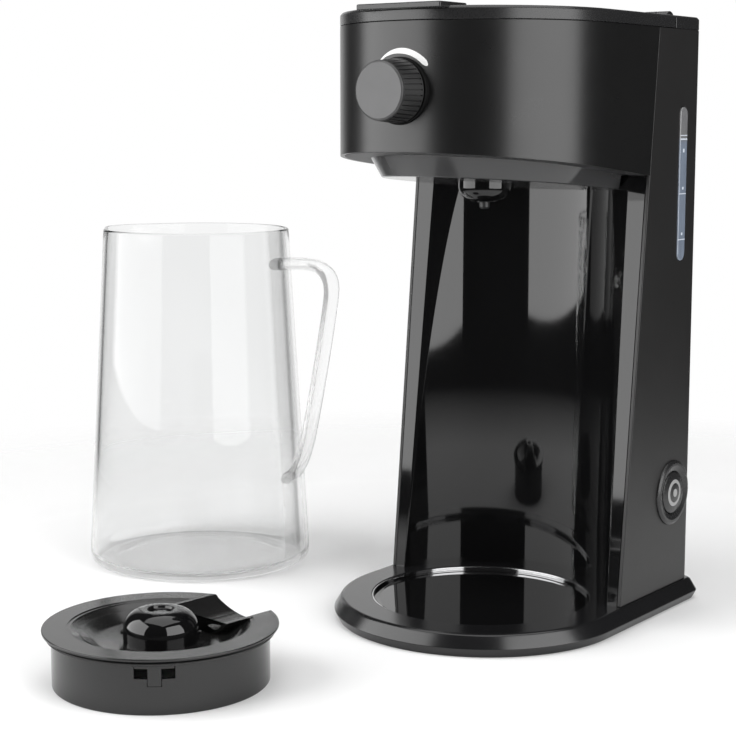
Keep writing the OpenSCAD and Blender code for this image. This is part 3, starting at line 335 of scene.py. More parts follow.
def pitcher_glass(name, tone, ior):
    """Clear glass, made partly see-through at the handle and the foot: painted light that lightens the dark
    shade of the solid glass and of its shadow there
    """
    skin, here = clear(name, tone, 0.0, ior, centre=GLASS_AT, rotation=(0, 0, HANDLE_TURN))
    along, across, height = (skin.part(here, axis) for axis in "XYZ")
    side = across.math("ABSOLUTE", across, 0.0)
    handle = skin.ramp(along, 52 * MM, 58 * MM) * (1 - skin.ramp(side, 9 * MM, 13 * MM))
    foot = 1 - skin.ramp(height, 4 * MM, 9 * MM)
    # Painted light: the extra see-through share at the handle and foot lightens their shade
    skin.shade("Alpha", 1 - handle.math("MAXIMUM", handle * 0.45, foot * 0.58))
    return skin.material


def level_pane(name, tone):
    """Tinted window, greyer over the top mark, with streaks down its length."""
    skin = Finish(name, Coat_Weight=1.0)
    here = skin.place(scale=(0.2, 0.2, 1))
    streak = skin.noise(here, 60, 3)
    dry = skin.ramp(skin.part(here, "Z") + streak * 0.004, 286 * MM, 290 * MM)
    wet = skin.blend(streak, shaded(tone, 0.8), shaded(tone, 1.15))
    skin.shade("Base Color", skin.blend(dry, wet, (0.15, 0.15, 0.155)))
    skin.shade("Roughness", 0.08 + streak * 0.08)
    skin.bump(streak, 0.05, 0.05 * MM)
    return skin.material


def printed(name, tone):
    """Opaque print with a slightly uneven edge of ink."""
    skin = Finish(name)
    ink = skin.noise(skin.place(), 700, 3)
    skin.tint(ink, tone, 0.93)
    skin.shade("Roughness", 0.42 + ink * 0.1)
    return skin.material


def make_finishes(tones):
    """Every finish of the maker by name."""
    knob_axis = ((KNOB_LOW.x + KNOB_HIGH.x) / 2, KNOB_LOW.y, KNOB_Z)
    return {
        "bay": polished("gloss black", tones.gloss, 0.02),
        "base": moulded("base black", tones.base, 0.21, 700, 0.015, 0.04),
        "band": moulded("satin black", tones.satin, 0.29, 1400, 0.03),
        "tower": moulded("panel black", tones.panel, 0.42, 1100, 0.05),
        "trim": moulded("trim grey", tones.trim, 0.27, 1000, 0.02),
        "inner": moulded("inner plastic", (0.03, 0.03, 0.031), 0.5),
        "pale_plastic": moulded("natural plastic", tones.pale, 0.5),
        "mesh": mesh_steel("filter mesh"),
        "knob": moulded("knob grip", (0.012, 0.012, 0.0122), 0.4, 1600, 0.05),
        "knob_face": spun("knob face", tones.face, knob_axis),
        "steel": metal("plated steel", (0.6, 0.6, 0.61), 0.22),
        "chrome": metal("bright lining", (0.72, 0.72, 0.73), 0.03, (20, 20, 20)),
        "aluminium": metal("heater aluminium", (0.68, 0.69, 0.7), 0.35, (40, 900, 900)),
        "rubber": moulded("black rubber", (0.02, 0.02, 0.02), 0.75, 500, 0.15),
        "silicone": moulded("pale silicone", (0.62, 0.6, 0.56), 0.6, 500, 0.08),
        "tank": clear("smoky plastic", (0.5, 0.6, 0.66), 0.3, 1.45, 0.7)[0].material,
        "window": level_pane("window plastic", tones.window),
        "pitcher": pitcher_glass("pitcher glass", tones.glass, 1.22),
        "cap": moulded("pitcher lid grey", tones.cap, 0.18, 1000, 0.02),
        "cap_dome": polished("dome black", tones.gloss, 0.03),
        "print": printed("white print", tones.print),
        "sign": printed("grey sign", tones.sign),
        # Near black with weak specular: a painted shadow that stands in for the dark gap round the knob
        "recess": moulded("matt recess", (0.002, 0.002, 0.002), 0.6, Specular_IOR_Level=0.12),
        "collar": moulded("collar grey", tones.collar, 0.13, 1000, 0.01),
        "mark": printed("window marks", (0.5, 0.54, 0.6)),
    }


FINISHES = {}


def deselect():
    if bpy.context.object and bpy.context.object.mode != "OBJECT":
        bpy.ops.object.mode_set(mode="OBJECT")
    bpy.ops.object.select_all(action="DESELECT")


def focus(piece):
    deselect()
    piece.select_set(True)
    bpy.context.view_layer.objects.active = piece
    return piece


def edit(piece):
    focus(piece)
    bpy.ops.object.mode_set(mode="EDIT")


def settle(piece):
    """Puts the place, turn and scale of a piece into its data."""
    focus(piece)
    bpy.ops.object.transform_apply(location=True, rotation=True, scale=True)
    return piece


def opened(name):
    """Names a new primitive, settles it and opens it for editing."""
    piece = settle(bpy.context.object)
    piece.name = piece.data.name = name
    bpy.ops.object.mode_set(mode="EDIT")
    return piece


def middle(item):
    if hasattr(item, "co"):
        return item.co
    return sum((v.co for v in item.verts), Vector()) / len(item.verts)


def pick(kind, test):
    """Selects the vertices, edges or faces whose place passes a test."""
    mesh = bmesh.from_edit_mesh(bpy.context.edit_object.data)
    bpy.ops.mesh.select_mode(type={"verts": "VERT", "edges": "EDGE", "faces": "FACE"}[kind])
    bpy.ops.mesh.select_all(action="DESELECT")
    count = 0
    for item in getattr(mesh, kind):
        if test(item, middle(item)):
            item.select_set(True)
            count += 1
    mesh.select_flush_mode()
    bmesh.update_edit_mesh(bpy.context.edit_object.data)
    if not count:
        raise RuntimeError(f"{bpy.context.edit_object.name}: nothing of its {kind} was found")


def pick_level(side):
    """Selects the level faces that look up, for 1, or down, for -1."""
    pick("faces", lambda f, at: f.normal.z * side > 0.9)


def everything():
    bpy.ops.mesh.select_mode(type="VERT")
    bpy.ops.mesh.select_all(action="SELECT")


def outward():
    """Merges doubles and turns all faces outwards."""
    everything()
    bpy.ops.mesh.remove_doubles(threshold=2e-6)
    bpy.ops.mesh.normals_make_consistent(inside=False)


def pull(x, y, z):
    bpy.ops.mesh.extrude_region_move(TRANSFORM_OT_translate={"value": (x, y, z)})


def bevel(offset, steps):
    bpy.ops.mesh.bevel(offset=offset, segments=steps, affect="EDGES")


def soften(points, radii, steps=5):
    """A profile whose inner corners are rounded."""
    drawn = [Vector(points[0])]
    for before, corner, after, radius in zip(points, points[1:], points[2:], radii):
        corner = Vector(corner)
        back, on = Vector(before) - corner, Vector(after) - corner
        if not radius:
            drawn.append(corner)
            continue
        half = back.angle(on) / 2
        reach = min(radius / math.tan(half), 0.48 * back.length, 0.48 * on.length)
        radius = reach * math.tan(half)
        back.normalize()
        on.normalize()
        centre = corner + (back + on).normalized() * (radius / math.sin(half))
        first, last = corner + back * reach - centre, corner + on * reach - centre
        drawn += [centre + first.lerp(last, i / steps).normalized() * radius for i in range(steps + 1)]
    return drawn + [Vector(points[-1])]


def draw(name, points, closed=False):
    """A line drawn by extruding one vertex from point to point."""
    deselect()
    bpy.ops.mesh.primitive_plane_add(size=MM, location=points[0])
    piece = opened(name)
    everything()
    bpy.ops.mesh.merge(type="CENTER")
    for here, there in zip(points, points[1:]):
        pull(*(Vector(there) - Vector(here)))
    if closed:
        everything()
        bpy.ops.mesh.edge_face_add()
    return piece


def lathe(name, profile, centre=(0, 0, 0), along=(0, 0, 1), steps=128):
    """A profile of radius and height, in millimetres, spun about an axis."""
    along, centre = Vector(along), Vector(centre)
    out = Vector((1, 0, 0)) if abs(along.x) < 0.5 else Vector((0, 1, 0))
    piece = draw(name, [centre + out * r * MM + along * h * MM for r, h in profile])
    everything()
    bpy.ops.mesh.spin(steps=steps, angle=math.tau, center=centre, axis=along)
    outward()
    return piece


def quarter(r, z, wide, high, steps):
    """A quarter of an ellipse in a profile, from its side to its head, or to its foot if high is negative."""
    turns = (math.pi / 2 * i / steps for i in range(steps + 1))
    return [(r + wide * math.cos(a), z + high * math.sin(a)) for a in turns]


def ring_of(points):
    """A profile closed on itself."""
    return list(points) + [points[0]]


def band_profile(inner, outer, low, high, radii):
    """The closed profile of a flat ring."""
    corners = [(inner, low), (outer, low), (outer, high), (inner, high), (inner, low)]
    return ring_of(soften(corners, radii))


def outline(name, radius, centre, rear, corner, z):
    """A face with a round front and two rounded rear corners."""
    deselect()
    bpy.ops.mesh.primitive_circle_add(vertices=256, radius=radius, location=(0, centre, z))
    piece = opened(name)
    pick("verts", lambda v, at: at.y > centre + 1e-6)
    bpy.ops.mesh.delete(type="VERT")
    pick("verts", lambda v, at: at.y > centre - 1e-6)
    pull(0, rear - centre, 0)
    bpy.ops.mesh.edge_face_add()
    bpy.ops.mesh.bevel(offset=corner, offset_type="OFFSET", segments=12, affect="VERTICES")
    everything()
    bpy.ops.mesh.edge_face_add()
    return piece


def body_outline(name, sizes, z):
    return outline(name, sizes.body_radius, sizes.body_centre, SIDE_HIGH.y, sizes.body_corner, z)


def body_wall(name, sizes, low, high):
    """The upright wall round the whole body, without a thickness."""
    piece = body_outline(name, sizes, low)
    bpy.ops.mesh.delete(type="ONLY_FACE")
    everything()
    pull(0, 0, high - low)
    outward()
    return piece


def rod(name, radius, start, end, sides=96):
    """A round bar between two points, for a cut or as a start."""
    start, end = Vector(start), Vector(end)
    deselect()
    bpy.ops.mesh.primitive_cylinder_add(
        vertices=sides, radius=radius, depth=(end - start).length, location=(start + end) / 2,
        rotation=(end - start).to_track_quat("Z", "Y").to_euler(),
    )
    piece = opened(name)
    bpy.ops.object.mode_set(mode="OBJECT")
    return piece


def post(name, radius, low, high, sides=192, centre=(0, 0, 0)):
    """An upright round bar about a centre, for a cut."""
    centre = Vector(centre)
    return rod(name, radius, centre + Vector((0, 0, low)), centre + Vector((0, 0, high)), sides)


def block(name, low, high, edge=0.0):
    """A box between two corners, with its edges rounded."""
    low, high = Vector(low), Vector(high)
    deselect()
    bpy.ops.mesh.primitive_cube_add(size=1, location=(low + high) / 2, scale=high - low)
    piece = opened(name)
    if edge:
        everything()
        bevel(edge, 3)
    bpy.ops.object.mode_set(mode="OBJECT")
    return piece


def apply(piece, kind, **settings):
    """Adds a modifier and applies it."""
    focus(piece)
    modifier = piece.modifiers.new(kind, kind)
    for key, value in settings.items():
        setattr(modifier, key, value)
    bpy.ops.object.modifier_apply(modifier=modifier.name)


def carve(piece, cutter, operation="DIFFERENCE"):
    deselect()
    apply(piece, "BOOLEAN", operation=operation, object=cutter, solver="EXACT")
    bpy.data.objects.remove(cutter)


def join(piece, *others):
    focus(piece)
    for other in others:
        other.select_set(True)
    bpy.ops.object.join()
    return piece


def copy_of(piece, name):
    focus(piece)
    bpy.ops.object.duplicate()
    made = bpy.context.object
    made.name = made.data.name = name
    return made


def slice_off(piece, point, normal, fill=False):
    """Cuts away what lies beyond a plane."""
    edit(piece)
    everything()
    bpy.ops.mesh.bisect(plane_co=point, plane_no=normal, use_fill=fill, clear_outer=True)


def break_edges(piece, width, steps=3, angle=35):
    """Rounds the sharp edges of a piece."""
    apply(piece, "BEVEL", width=width, segments=steps, limit_method="ANGLE",
          angle_limit=math.radians(angle), use_clamp_overlap=True)


def done(piece, body, slot, finish, *nodes, angle=40, flat=True):
    """Smooths a piece, gives it its finish and puts it on its body."""
    focus(piece)
    bpy.ops.object.shade_smooth_by_angle(angle=math.radians(angle))
    if flat:
        apply(piece, "WEIGHTED_NORMAL", mode="FACE_AREA", weight=60, keep_sharp=True)
    piece.data.materials.clear()
    piece.data.materials.append(FINISHES[finish])
    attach(piece, body)
    if nodes:
        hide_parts(*nodes)
    return piece


def level(angle):
    """A level unit vector at an angle from X."""
    return Vector((math.cos(angle), math.sin(angle), 0))


def lean_normal():
    """Normal of the leaning seam, towards the front."""
    run, rise = HEAD_HIGH.y - SIDE_LOW.y, SIDE_HIGH.z - SIDE_LOW.z
    return Vector((0, -rise, run)).normalized()


def under_normal(sizes):
    return Vector((0, -math.sin(sizes.slope), -math.cos(sizes.slope)))


class MakeStage(bpy.types.Operator):
    """Camera, floor, lights and finishes"""

    bl_idname = "coffee_maker.stage"
    bl_label = "Stage"

    def execute(self, context):
        scene = context.scene
        scene.view_settings.view_transform = "Standard"
        deselect()
        place, pitch, heading = (0.5610, -0.8687, 0.3001), math.radians(81.81), math.radians(36.66)
        bpy.ops.object.camera_add(location=place, rotation=(pitch, 0, heading))
        scene.camera = context.object
        scene.camera.data.lens, scene.camera.data.sensor_width = 85.4, 36
        bpy.ops.mesh.primitive_plane_add(size=40)
        floor = context.object
        floor.name = "floor"
        floor.data.materials.append(self.floor_finish())
        beside = {"distance": 1.2, "radiance": 4.0}
        self.softbox("left_softbox", azimuth=-41, height=0.725, size=(1.5, 1.39), roll=-1.6, **beside)
        self.softbox("right_softbox", azimuth=82, height=0.68, size=(1.33, 1.39), roll=-0.8, **beside)
        self.softbox("top_softbox", azimuth=0, height=2.2, size=(2.4, 2.4), above=True,
                     distance=0.0, radiance=2.0)
        self.sky(scene)
        FINISHES.update(make_finishes(scene.maker_colours))
        return {"FINISHED"}

    def floor_finish(self):
        paint = Finish("pale floor", Roughness=0.9)
        here = paint.place()
        drift = paint.noise(here, 3, 1)
        paint.shade("Base Color", paint.blend(drift, (0.86, 0.86, 0.86), (0.88, 0.88, 0.88)))
        far = paint.ramp(paint.size(here), 0.4, 0.75)
        near = Socket(paint, paint.shader.outputs[0])
        open_air = paint.node("ShaderNodeBsdfTransparent")
        out = paint.node("ShaderNodeMixShader", inputs={0: far, 1: near, 2: open_air})
        paint.feed(paint.tree.nodes["Material Output"].inputs["Surface"], out)
        return paint.material

    def softbox(self, name, azimuth, height, size, distance, radiance, above=False, roll=0.0):
        """An area light at a compass angle, which looks level or straight down."""
        way = math.radians(azimuth)
        place = Vector((distance * math.sin(way), -distance * math.cos(way), height))
        aim = Vector((0, 0, 0 if above else height)) - place
        turned = aim.to_track_quat("-Z", "Y") @ Quaternion((0, 0, 1), math.radians(roll))
        bpy.ops.object.light_add(type="AREA", location=place, rotation=turned.to_euler())
        lamp = bpy.context.object
        lamp.name = name
        lamp.data.shape = "RECTANGLE"
        lamp.data.size, lamp.data.size_y = size
        lamp.data.energy = radiance * math.pi * size[0] * size[1]
        lamp.visible_camera = False

    def sky(self, scene):
        world = bpy.data.worlds.new("studio")
        world.use_nodes = True
        scene.world = world
        air = Nodes(world.node_tree)
        seen = air.node("ShaderNodeLightPath", output="Is Camera Ray")
        way = air.node("ShaderNodeTexCoord", output="Generated")
        behind = (-0.6, 0.8, 0)
        towards = air.node("ShaderNodeVectorMath", {"operation": "DOT_PRODUCT"}, {0: way, 1: behind}, "Value")
        white = seen.math("MAXIMUM", seen, air.ramp(towards, 0.8, 0.94, 0.03))
        glow = world.node_tree.nodes["Background"]
        air.feed(glow.inputs["Color"], (1, 1, 1, 1))
        air.feed(glow.inputs["Strength"], white)


class MakeBase(bpy.types.Operator):
    """Base with its drip well, the drip plate and the lining of the well"""

    bl_idname = "coffee_maker.base"
    bl_label = "Base"

    def execute(self, context):
        sizes = context.scene.maker_sizes
        top, foot = BASE_HIGH.z, BASE_LOW.z - 1.3 * MM
        mid, half = foot + 5 * MM, 0.4 * MM
        base = outline("base", BASE_HIGH.x, 0, BASE_HIGH.y, sizes.base_corner, mid - half)
        pull(0, 0, 2 * half)
        outward()
        pick_level(1)
        bpy.ops.mesh.inset(thickness=sizes.base_bevel, depth=top - mid - half)
        pick("edges", lambda e, at: at.z > top - 1e-6)
        bevel(1.6 * MM, 5)
        pick_level(-1)
        bpy.ops.mesh.inset(thickness=sizes.base_lip, depth=mid - half - foot)
        bpy.ops.mesh.inset(thickness=2.5 * MM)
        pull(0, 0, 3.5 * MM)
        floor, dish, edge = 7, 10.1, 10.4
        carve(base, post("well", sizes.well_radius, floor * MM, 0.05, 256))
        edit(base)
        pick("edges", lambda e, at: at.z > top - 1e-6 and at.xy.length < sizes.well_radius + 1e-5)
        bevel(0.7 * MM, 3)
        done(base, "machine", "base", "base", "base_plate")
        rim = sizes.well_radius / MM - 0.3
        plate = lathe("drip_tray_plate", soften(
            [(0, dish), (rim - 4, dish), (rim - 2.6, edge), (rim, edge), (rim, floor), (0, floor)],
            [3, 2, 0.4, 0, 0]), steps=192)
        done(plate, "machine", "bay", "bay", "drip_plate")
        lining = lathe("well_lining", band_profile(rim - 0.3, rim + 0.25, 10.5, 12.5, [0, 0, 0.2]), steps=192)
        done(lining, "machine", "steel", "chrome")
        return {"FINISHED"}


class MakeTower(bpy.types.Operator):
    """Side panels and back of the tower, the water window and its marks"""

    bl_idname = "coffee_maker.tower"
    bl_label = "Tower"

    def execute(self, context):
        sizes = context.scene.maker_sizes
        low, split, gap = SIDE_LOW.z, SIDE_LOW.x, 0.2 * MM
        walls = body_wall("walls", sizes, low, SIDE_HIGH.z)
        slice_off(walls, (0, SIDE_LOW.y, low), lean_normal())
        spans = [
            ("panel_left", "tower_left", [((-split, 0, 0), (1, 0, 0))]),
            ("panel_right", "tower_right", [((split, 0, 0), (-1, 0, 0))]),
            ("panel_rear", "rear_cover", [((gap - split, 0, 0), (-1, 0, 0)), ((split - gap, 0, 0), (1, 0, 0))]),
        ]
        for name, node, planes in spans:
            panel = copy_of(walls, name)
            for point, normal in planes:
                slice_off(panel, point, normal)
            apply(panel, "SOLIDIFY", thickness=sizes.wall, offset=-1, use_even_offset=True)
            if node == "tower_right":
                self.open_right(panel)
            if node == "rear_cover":
                at = middle_of("cord_gland")
                carve(panel, rod("gland_hole", 7.05 * MM, (at.x, 0.09, at.z), (at.x, 0.14, at.z)))
            break_edges(panel, sizes.edge)
            done(panel, "machine", "tower", "tower", node)
        bpy.data.objects.remove(walls)
        self.make_window()
        return {"FINISHED"}

    def slot_line(self, x, grow):
        """Outline of the window, rounded at both ends."""
        radius = 4.7 * MM + grow
        reach = (WINDOW_HIGH.z - WINDOW_LOW.z) / 2 - 6.7 * MM
        ends, steps = [], 16
        for side in (1, -1):
            for i in range(steps + 1):
                a = math.pi * i / steps
                y, z = radius * math.cos(a), reach + radius * math.sin(a)
                ends.append((x, WINDOW_AT.y + side * y, WINDOW_AT.z + side * z))
        return ends

    def open_right(self, panel):
        hole = draw("window_hole", self.slot_line(0.07, 0.15 * MM), closed=True)
        pull(0.02, 0, 0)
        outward()
        carve(panel, hole)
        carve(panel, rod("button_hole", 17.05 * MM, (0.07, *RING_AT.yz), (0.1, *RING_AT.yz)))

    def make_window(self):
        pane = draw("window_pane", self.slot_line(WINDOW_LOW.x, 0), closed=True)
        pull(WINDOW_HIGH.x - WINDOW_LOW.x, 0, 0)
        outward()
        pick("edges", lambda e, at: at.x > WINDOW_HIGH.x - 1e-6)
        bevel(0.8 * MM, 4)
        done(pane, "machine", "window", "window", "water_window")
        marks, y = [], WINDOW_AT.y
        for z, wide, high in (
            (289, 4.2, 0.6), (286.8, 4.2, 0.9), (280, 1, 2.2), (257.6, 0.9, 1.6), (254.3, 4.2, 0.6),
            (230.2, 0.9, 1.6), (226.8, 4.2, 0.6),
        ):
            marks.append(block(
                "mark", (WINDOW_HIGH.x - 0.3 * MM, y - wide * MM, (z - high / 2) * MM),
                (WINDOW_HIGH.x + 0.04 * MM, y + wide * MM, (z + high / 2) * MM), 0.1 * MM))
        done(join(*marks), "machine", "window", "mark")
        marks[0].name = "window_marks"


class MakeBay(bpy.types.Operator):
    """Concave bay wall with its wings, the collar and the drip outlet"""

    bl_idname = "coffee_maker.bay"
    bl_label = "Bay"

    def execute(self, context):
        sizes = context.scene.maker_sizes
        self.make_wall(sizes)
        self.make_collar(sizes)
        self.make_outlet()
        return {"FINISHED"}

    def make_wall(self, sizes):
        """A block with two turned wings, hollowed by the bay and cut to a thin wall."""
        low, front = SIDE_LOW.z, SIDE_LOW.y
        below, tall, flat = 0.02, 0.36, 0.04
        half = sizes.body_radius - sizes.wall - 0.2 * MM
        normal = lean_normal()
        up = Vector((0, normal.z, -normal.y))
        foot = Vector((0, front, low)) - up * below
        across = Vector((0, -normal.y, -normal.z))
        drift = (sizes.strip_head - sizes.strip_foot) / (sizes.underside - low)

        def spots(*points):
            return [Vector((x, 0, 0)) + across * y for x, y in points]

        def wings(rise):
            inner = sizes.strip_foot + drift * rise
            deep = (inner - flat) * math.tan(sizes.wing_turn)
            return spots((-inner, 0), (-flat, deep), (flat, deep), (inner, 0))

        rear = spots((half, 0), (half, 0.1), (-half, 0.1), (-half, 0))
        wall = draw("bay_wall", [foot + spot for spot in wings(-below) + rear], closed=True)
        pull(*(up * tall))
        outward()
        for before, after in zip(wings(-below), wings(tall - below)):
            spot = foot + up * tall + before
            pick("verts", lambda v, at: (at - spot).length < 1e-4)
            bpy.ops.transform.translate(value=after - before)
        carve(wall, post("bay", sizes.bay_radius, -0.1, 0.5, 256))
        slice_off(wall, (0, 0, low), (0, 0, -1))
        slice_off(wall, (0, 0, sizes.underside), -under_normal(sizes))
        edit(wall)
        pick("faces", lambda f, at: abs(at.x) > half - 1e-5 or f.normal.y > 0.5 or abs(f.normal.z) > 0.9)
        bpy.ops.mesh.delete(type="FACE")
        break_edges(wall, 0.6 * MM, 3, 8)
        apply(wall, "SOLIDIFY", thickness=sizes.wall - 0.5 * MM, offset=-1)
        done(wall, "machine", "bay", "bay", "dock_wall", angle=20)

    def make_collar(self, sizes):
        """A round front with straight sides that run back to the bay wall."""
        collar = outline("collar", sizes.collar_radius, 0, 0.1, 12 * MM, 0)
        pull(0, 0, -0.4 * MM)
        outward()
        pick_level(-1)
        bpy.ops.mesh.inset(thickness=sizes.collar_taper, depth=sizes.collar_drop - 0.4 * MM)
        pick("edges", lambda e, at: at.z < 1e-6 - sizes.collar_drop)
        bevel(0.8 * MM, 3)
        flatter = math.radians(1.6)
        collar.rotation_euler.x = flatter - sizes.slope
        collar.location.z = sizes.underside + sizes.collar_radius * math.tan(flatter)
        settle(collar)
        carve(collar, post("inside_bay", sizes.bay_radius + 2.5 * MM, 0.2, 0.3, 256), "INTERSECT")
        carve(collar, post("outlet_hole", 15.6 * MM, 0.2, 0.3, 96))
        done(collar, "machine", "trim", "collar", "outlet_collar")

    def make_outlet(self):
        """A bowl with a hole for the valve's stem and four slots round it."""
        low, high = OUTLET_LOW.z / MM, OUTLET_HIGH.z / MM
        outer = OUTLET_HIGH.x / MM
        stem, flat, wall, deep, slots = 3.1, 5, 2.2, 9, 4
        outside = quarter(flat, low + deep, outer - flat, -deep, 14)
        inside = quarter(flat, low + deep + 0.5, outer - flat - wall, wall - deep - 0.5, 14)
        nozzle = lathe("nozzle", ring_of(
            [(outer - 1, high), (outer, high)] + outside + [(stem, low), (stem, low + wall)] + inside[::-1]
            + [(outer - wall, high)]))
        for i in range(slots):
            slot = block("slot", Vector((6.4, -1.2, low - 1)) * MM, Vector((10.6, 1.2, low + 7)) * MM)
            slot.rotation_euler.z = math.tau * i / slots
            carve(nozzle, settle(slot))
        done(nozzle, "machine", "bay", "bay", "drip_outlet", flat=False)


class MakeHead(bpy.types.Operator):
    """Round band of the head and the scale printed over the knob"""

    bl_idname = "coffee_maker.head"
    bl_label = "Head"

    def execute(self, context):
        sizes = context.scene.maker_sizes
        band = body_wall("band", sizes, 0.25, HEAD_HIGH.z)
        slice_off(band, (0, SIDE_LOW.y, SIDE_LOW.z), -lean_normal())
        slice_off(band, (0, 0, sizes.underside), under_normal(sizes))
        self.print_scale(band)
        apply(band, "SOLIDIFY", thickness=sizes.wall, offset=-1, use_even_offset=True)
        carve(band, rod("shaft_hole", 6 * MM, (0, -0.1, KNOB_Z), (0, -0.05, KNOB_Z)))
        break_edges(band, sizes.edge)
        done(band, "machine", "band", "band", "head_shell")
        return {"FINISHED"}

    def print_scale(self, band):
        """A crescent that widens from one end to the other, wrapped on the band."""
        radius, reach, steps = 21.6, 52, 48
        lines = []
        for name, side in (("scale", 1), ("scale_inner", -1)):
            points = []
            for i in range(steps + 1):
                t = i / steps
                a = math.radians(2 * reach * t - reach)
                swell = min(1.0, t / 0.62)
                half = (0.3 + 1.3 * swell * swell * (3 - 2 * swell)) * math.sqrt(min(1.0, 16 * (1 - t) + 0.05))
                r = (radius + side * half) * MM
                points.append((r * math.sin(a), HEAD_LOW.y - 4 * MM, KNOB_Z + r * math.cos(a)))
            lines.append(draw(name, points))
        scale = join(*lines)
        edit(scale)
        everything()
        bpy.ops.mesh.bridge_edge_loops()
        apply(scale, "SHRINKWRAP", target=band, wrap_method="PROJECT", wrap_mode="ABOVE_SURFACE",
              offset=0.05 * MM, use_project_y=True, use_negative_direction=False, use_positive_direction=True)
        apply(scale, "SOLIDIFY", thickness=0.03 * MM, offset=0)
        done(scale, "machine", "band", "print", flat=False)


class MakeLid(bpy.types.Operator):
    """Hinged lid with its finger lip, and the fixed rear deck"""

    bl_idname = "coffee_maker.lid"
    bl_label = "Lid"

    def execute(self, context):
        sizes = context.scene.maker_sizes
        seam = SIDE_HIGH.z
        top = seam + sizes.deck
        hinge = Vector((0, LID_HIGH.y - sizes.knuckle, DECK_TOP - sizes.knuckle))
        rear, gap = hinge.y - sizes.knuckle - 0.5 * MM, 0.3 * MM
        lid_arm, deck_arm = 60 * MM, 68.3 * MM
        lid = self.slab(sizes, "lid_top", seam + gap, top)
        slice_off(lid, (0, rear, 0), (0, 1, 0), fill=True)
        edit(lid)
        pick_level(-1)
        bpy.ops.mesh.inset(thickness=sizes.wall)
        pull(0, 0, sizes.deck - gap - sizes.wall)
        break_edges(lid, 0.5 * MM)
        half, front = sizes.lip_width / 2, LID_LOW.y
        lip = block("lip", (-half, front, top - 1.5 * MM), (half, front + 26 * MM, top + 2 * MM), 0.9 * MM)
        arms = self.knuckles(sizes, hinge, lid_arm, rear - 6 * MM)
        done(join(lid, lip, *arms), "lid", "tower", "trim", "top_lid")
        deck = self.slab(sizes, "rear_deck", seam, top)
        slice_off(deck, (0, rear + MM, 0), (0, -1, 0), fill=True)
        for side in (-1, 1):
            a, b = sorted((side * (lid_arm - gap), side * (deck_arm - 0.1 * MM)))
            carve(deck, block("notch", (a, rear - 0.01, seam - 0.01), (b, hinge.y + 6.1 * MM, top + 0.01)))
        break_edges(deck, 0.5 * MM)
        arms = self.knuckles(sizes, hinge, deck_arm, hinge.y)
        done(join(deck, *arms), "machine", "tower", "trim", "top_deck")
        return {"FINISHED"}

    def slab(self, sizes, name, low, high):
        """A flat cover over the whole outline, with its top edge drawn in."""
        piece = body_outline(name, sizes, low)
        slant = 1.5 * MM
        pull(0, 0, high - slant - low)
        outward()
        pick_level(1)
        bpy.ops.mesh.inset(thickness=sizes.lid_bevel, depth=slant)
        return piece

    def knuckles(self, sizes, hinge, inside, front):
        """The two round knuckles of one half of the hinge, with their arms."""
        made = []
        for side in (-1, 1):
            a, b = side * inside, side * (inside + 8 * MM)
            barrel = rod("knuckle", sizes.knuckle, (a, hinge.y, hinge.z), (b, hinge.y, hinge.z), 48)
            break_edges(barrel, 0.5 * MM)
            low, high = sorted((a, b))
            foot, head = (low, front, hinge.z - 2.2 * MM), (high, hinge.y + 0.1 * MM, hinge.z + 3.4 * MM)
            made += [barrel, block("arm", foot, head, 0.4 * MM)]
        return made


class MakeKnob(bpy.types.Operator):
    """Strength knob with its grey face, and the dial plate behind it, painted near black as painted shade for
    the gap round the knob
    """

    bl_idname = "coffee_maker.knob"
    bl_label = "Strength knob"

    def execute(self, context):
        sizes = context.scene.maker_sizes
        foot, forward = Vector((0, KNOB_HIGH.y, KNOB_Z)), (0, -1, 0)
        pitch = 4
        steps = sizes.grooves * pitch
        knob = lathe("knob_grip", [
            (0, 0), (17.1, 0), (17.6, 0.5), (17.55, 1.3), (16.3, 16), (16.2, 16.5), (15.95, 16.7), (0, 16.7)],
                     foot, forward, steps)

        def grooved(face, at):
            rise = (foot.y - at.y) / MM
            turned = math.atan2(at.z - KNOB_Z, at.x) / math.tau * steps
            return 3 < rise < 15 and face.normal.y > -0.5 and math.floor(turned) % pitch == 0

        pick("faces", grooved)
        bpy.ops.mesh.extrude_region_shrink_fatten(TRANSFORM_OT_shrink_fatten={"value": -sizes.groove_depth})
        done(knob, "knob", "knob", "knob", "strength_knob", angle=30, flat=False)
        face = lathe("knob_face", soften(
            [(0, 17.6), (14.9, 17.75), (15.8, 17.2), (15.8, 16.6), (0, 16.6)], [0.4, 0.3, 0]),
                     foot, forward, 144)
        done(face, "knob", "knob_face", "knob_face", "knob_cap")
        band, shaft = Vector((0, HEAD_LOW.y, KNOB_Z)), 3.1
        dial = lathe("knob_dial", ring_of(soften(
            [(shaft, -2), (shaft, 1.5), (18.4, 1.5), (18.4, -2.3), (6, -2.3), (6, -8.4), (shaft, -8.4),
             (shaft, -2)], [0.2, 0.7, 0, 0, 0.3, 0.3])), band, forward, 144)
        # The dial plate takes the near black finish: painted shade for the gap round the knob
        done(dial, "machine", "trim", "recess", "knob_bushing")
        return {"FINISHED"}


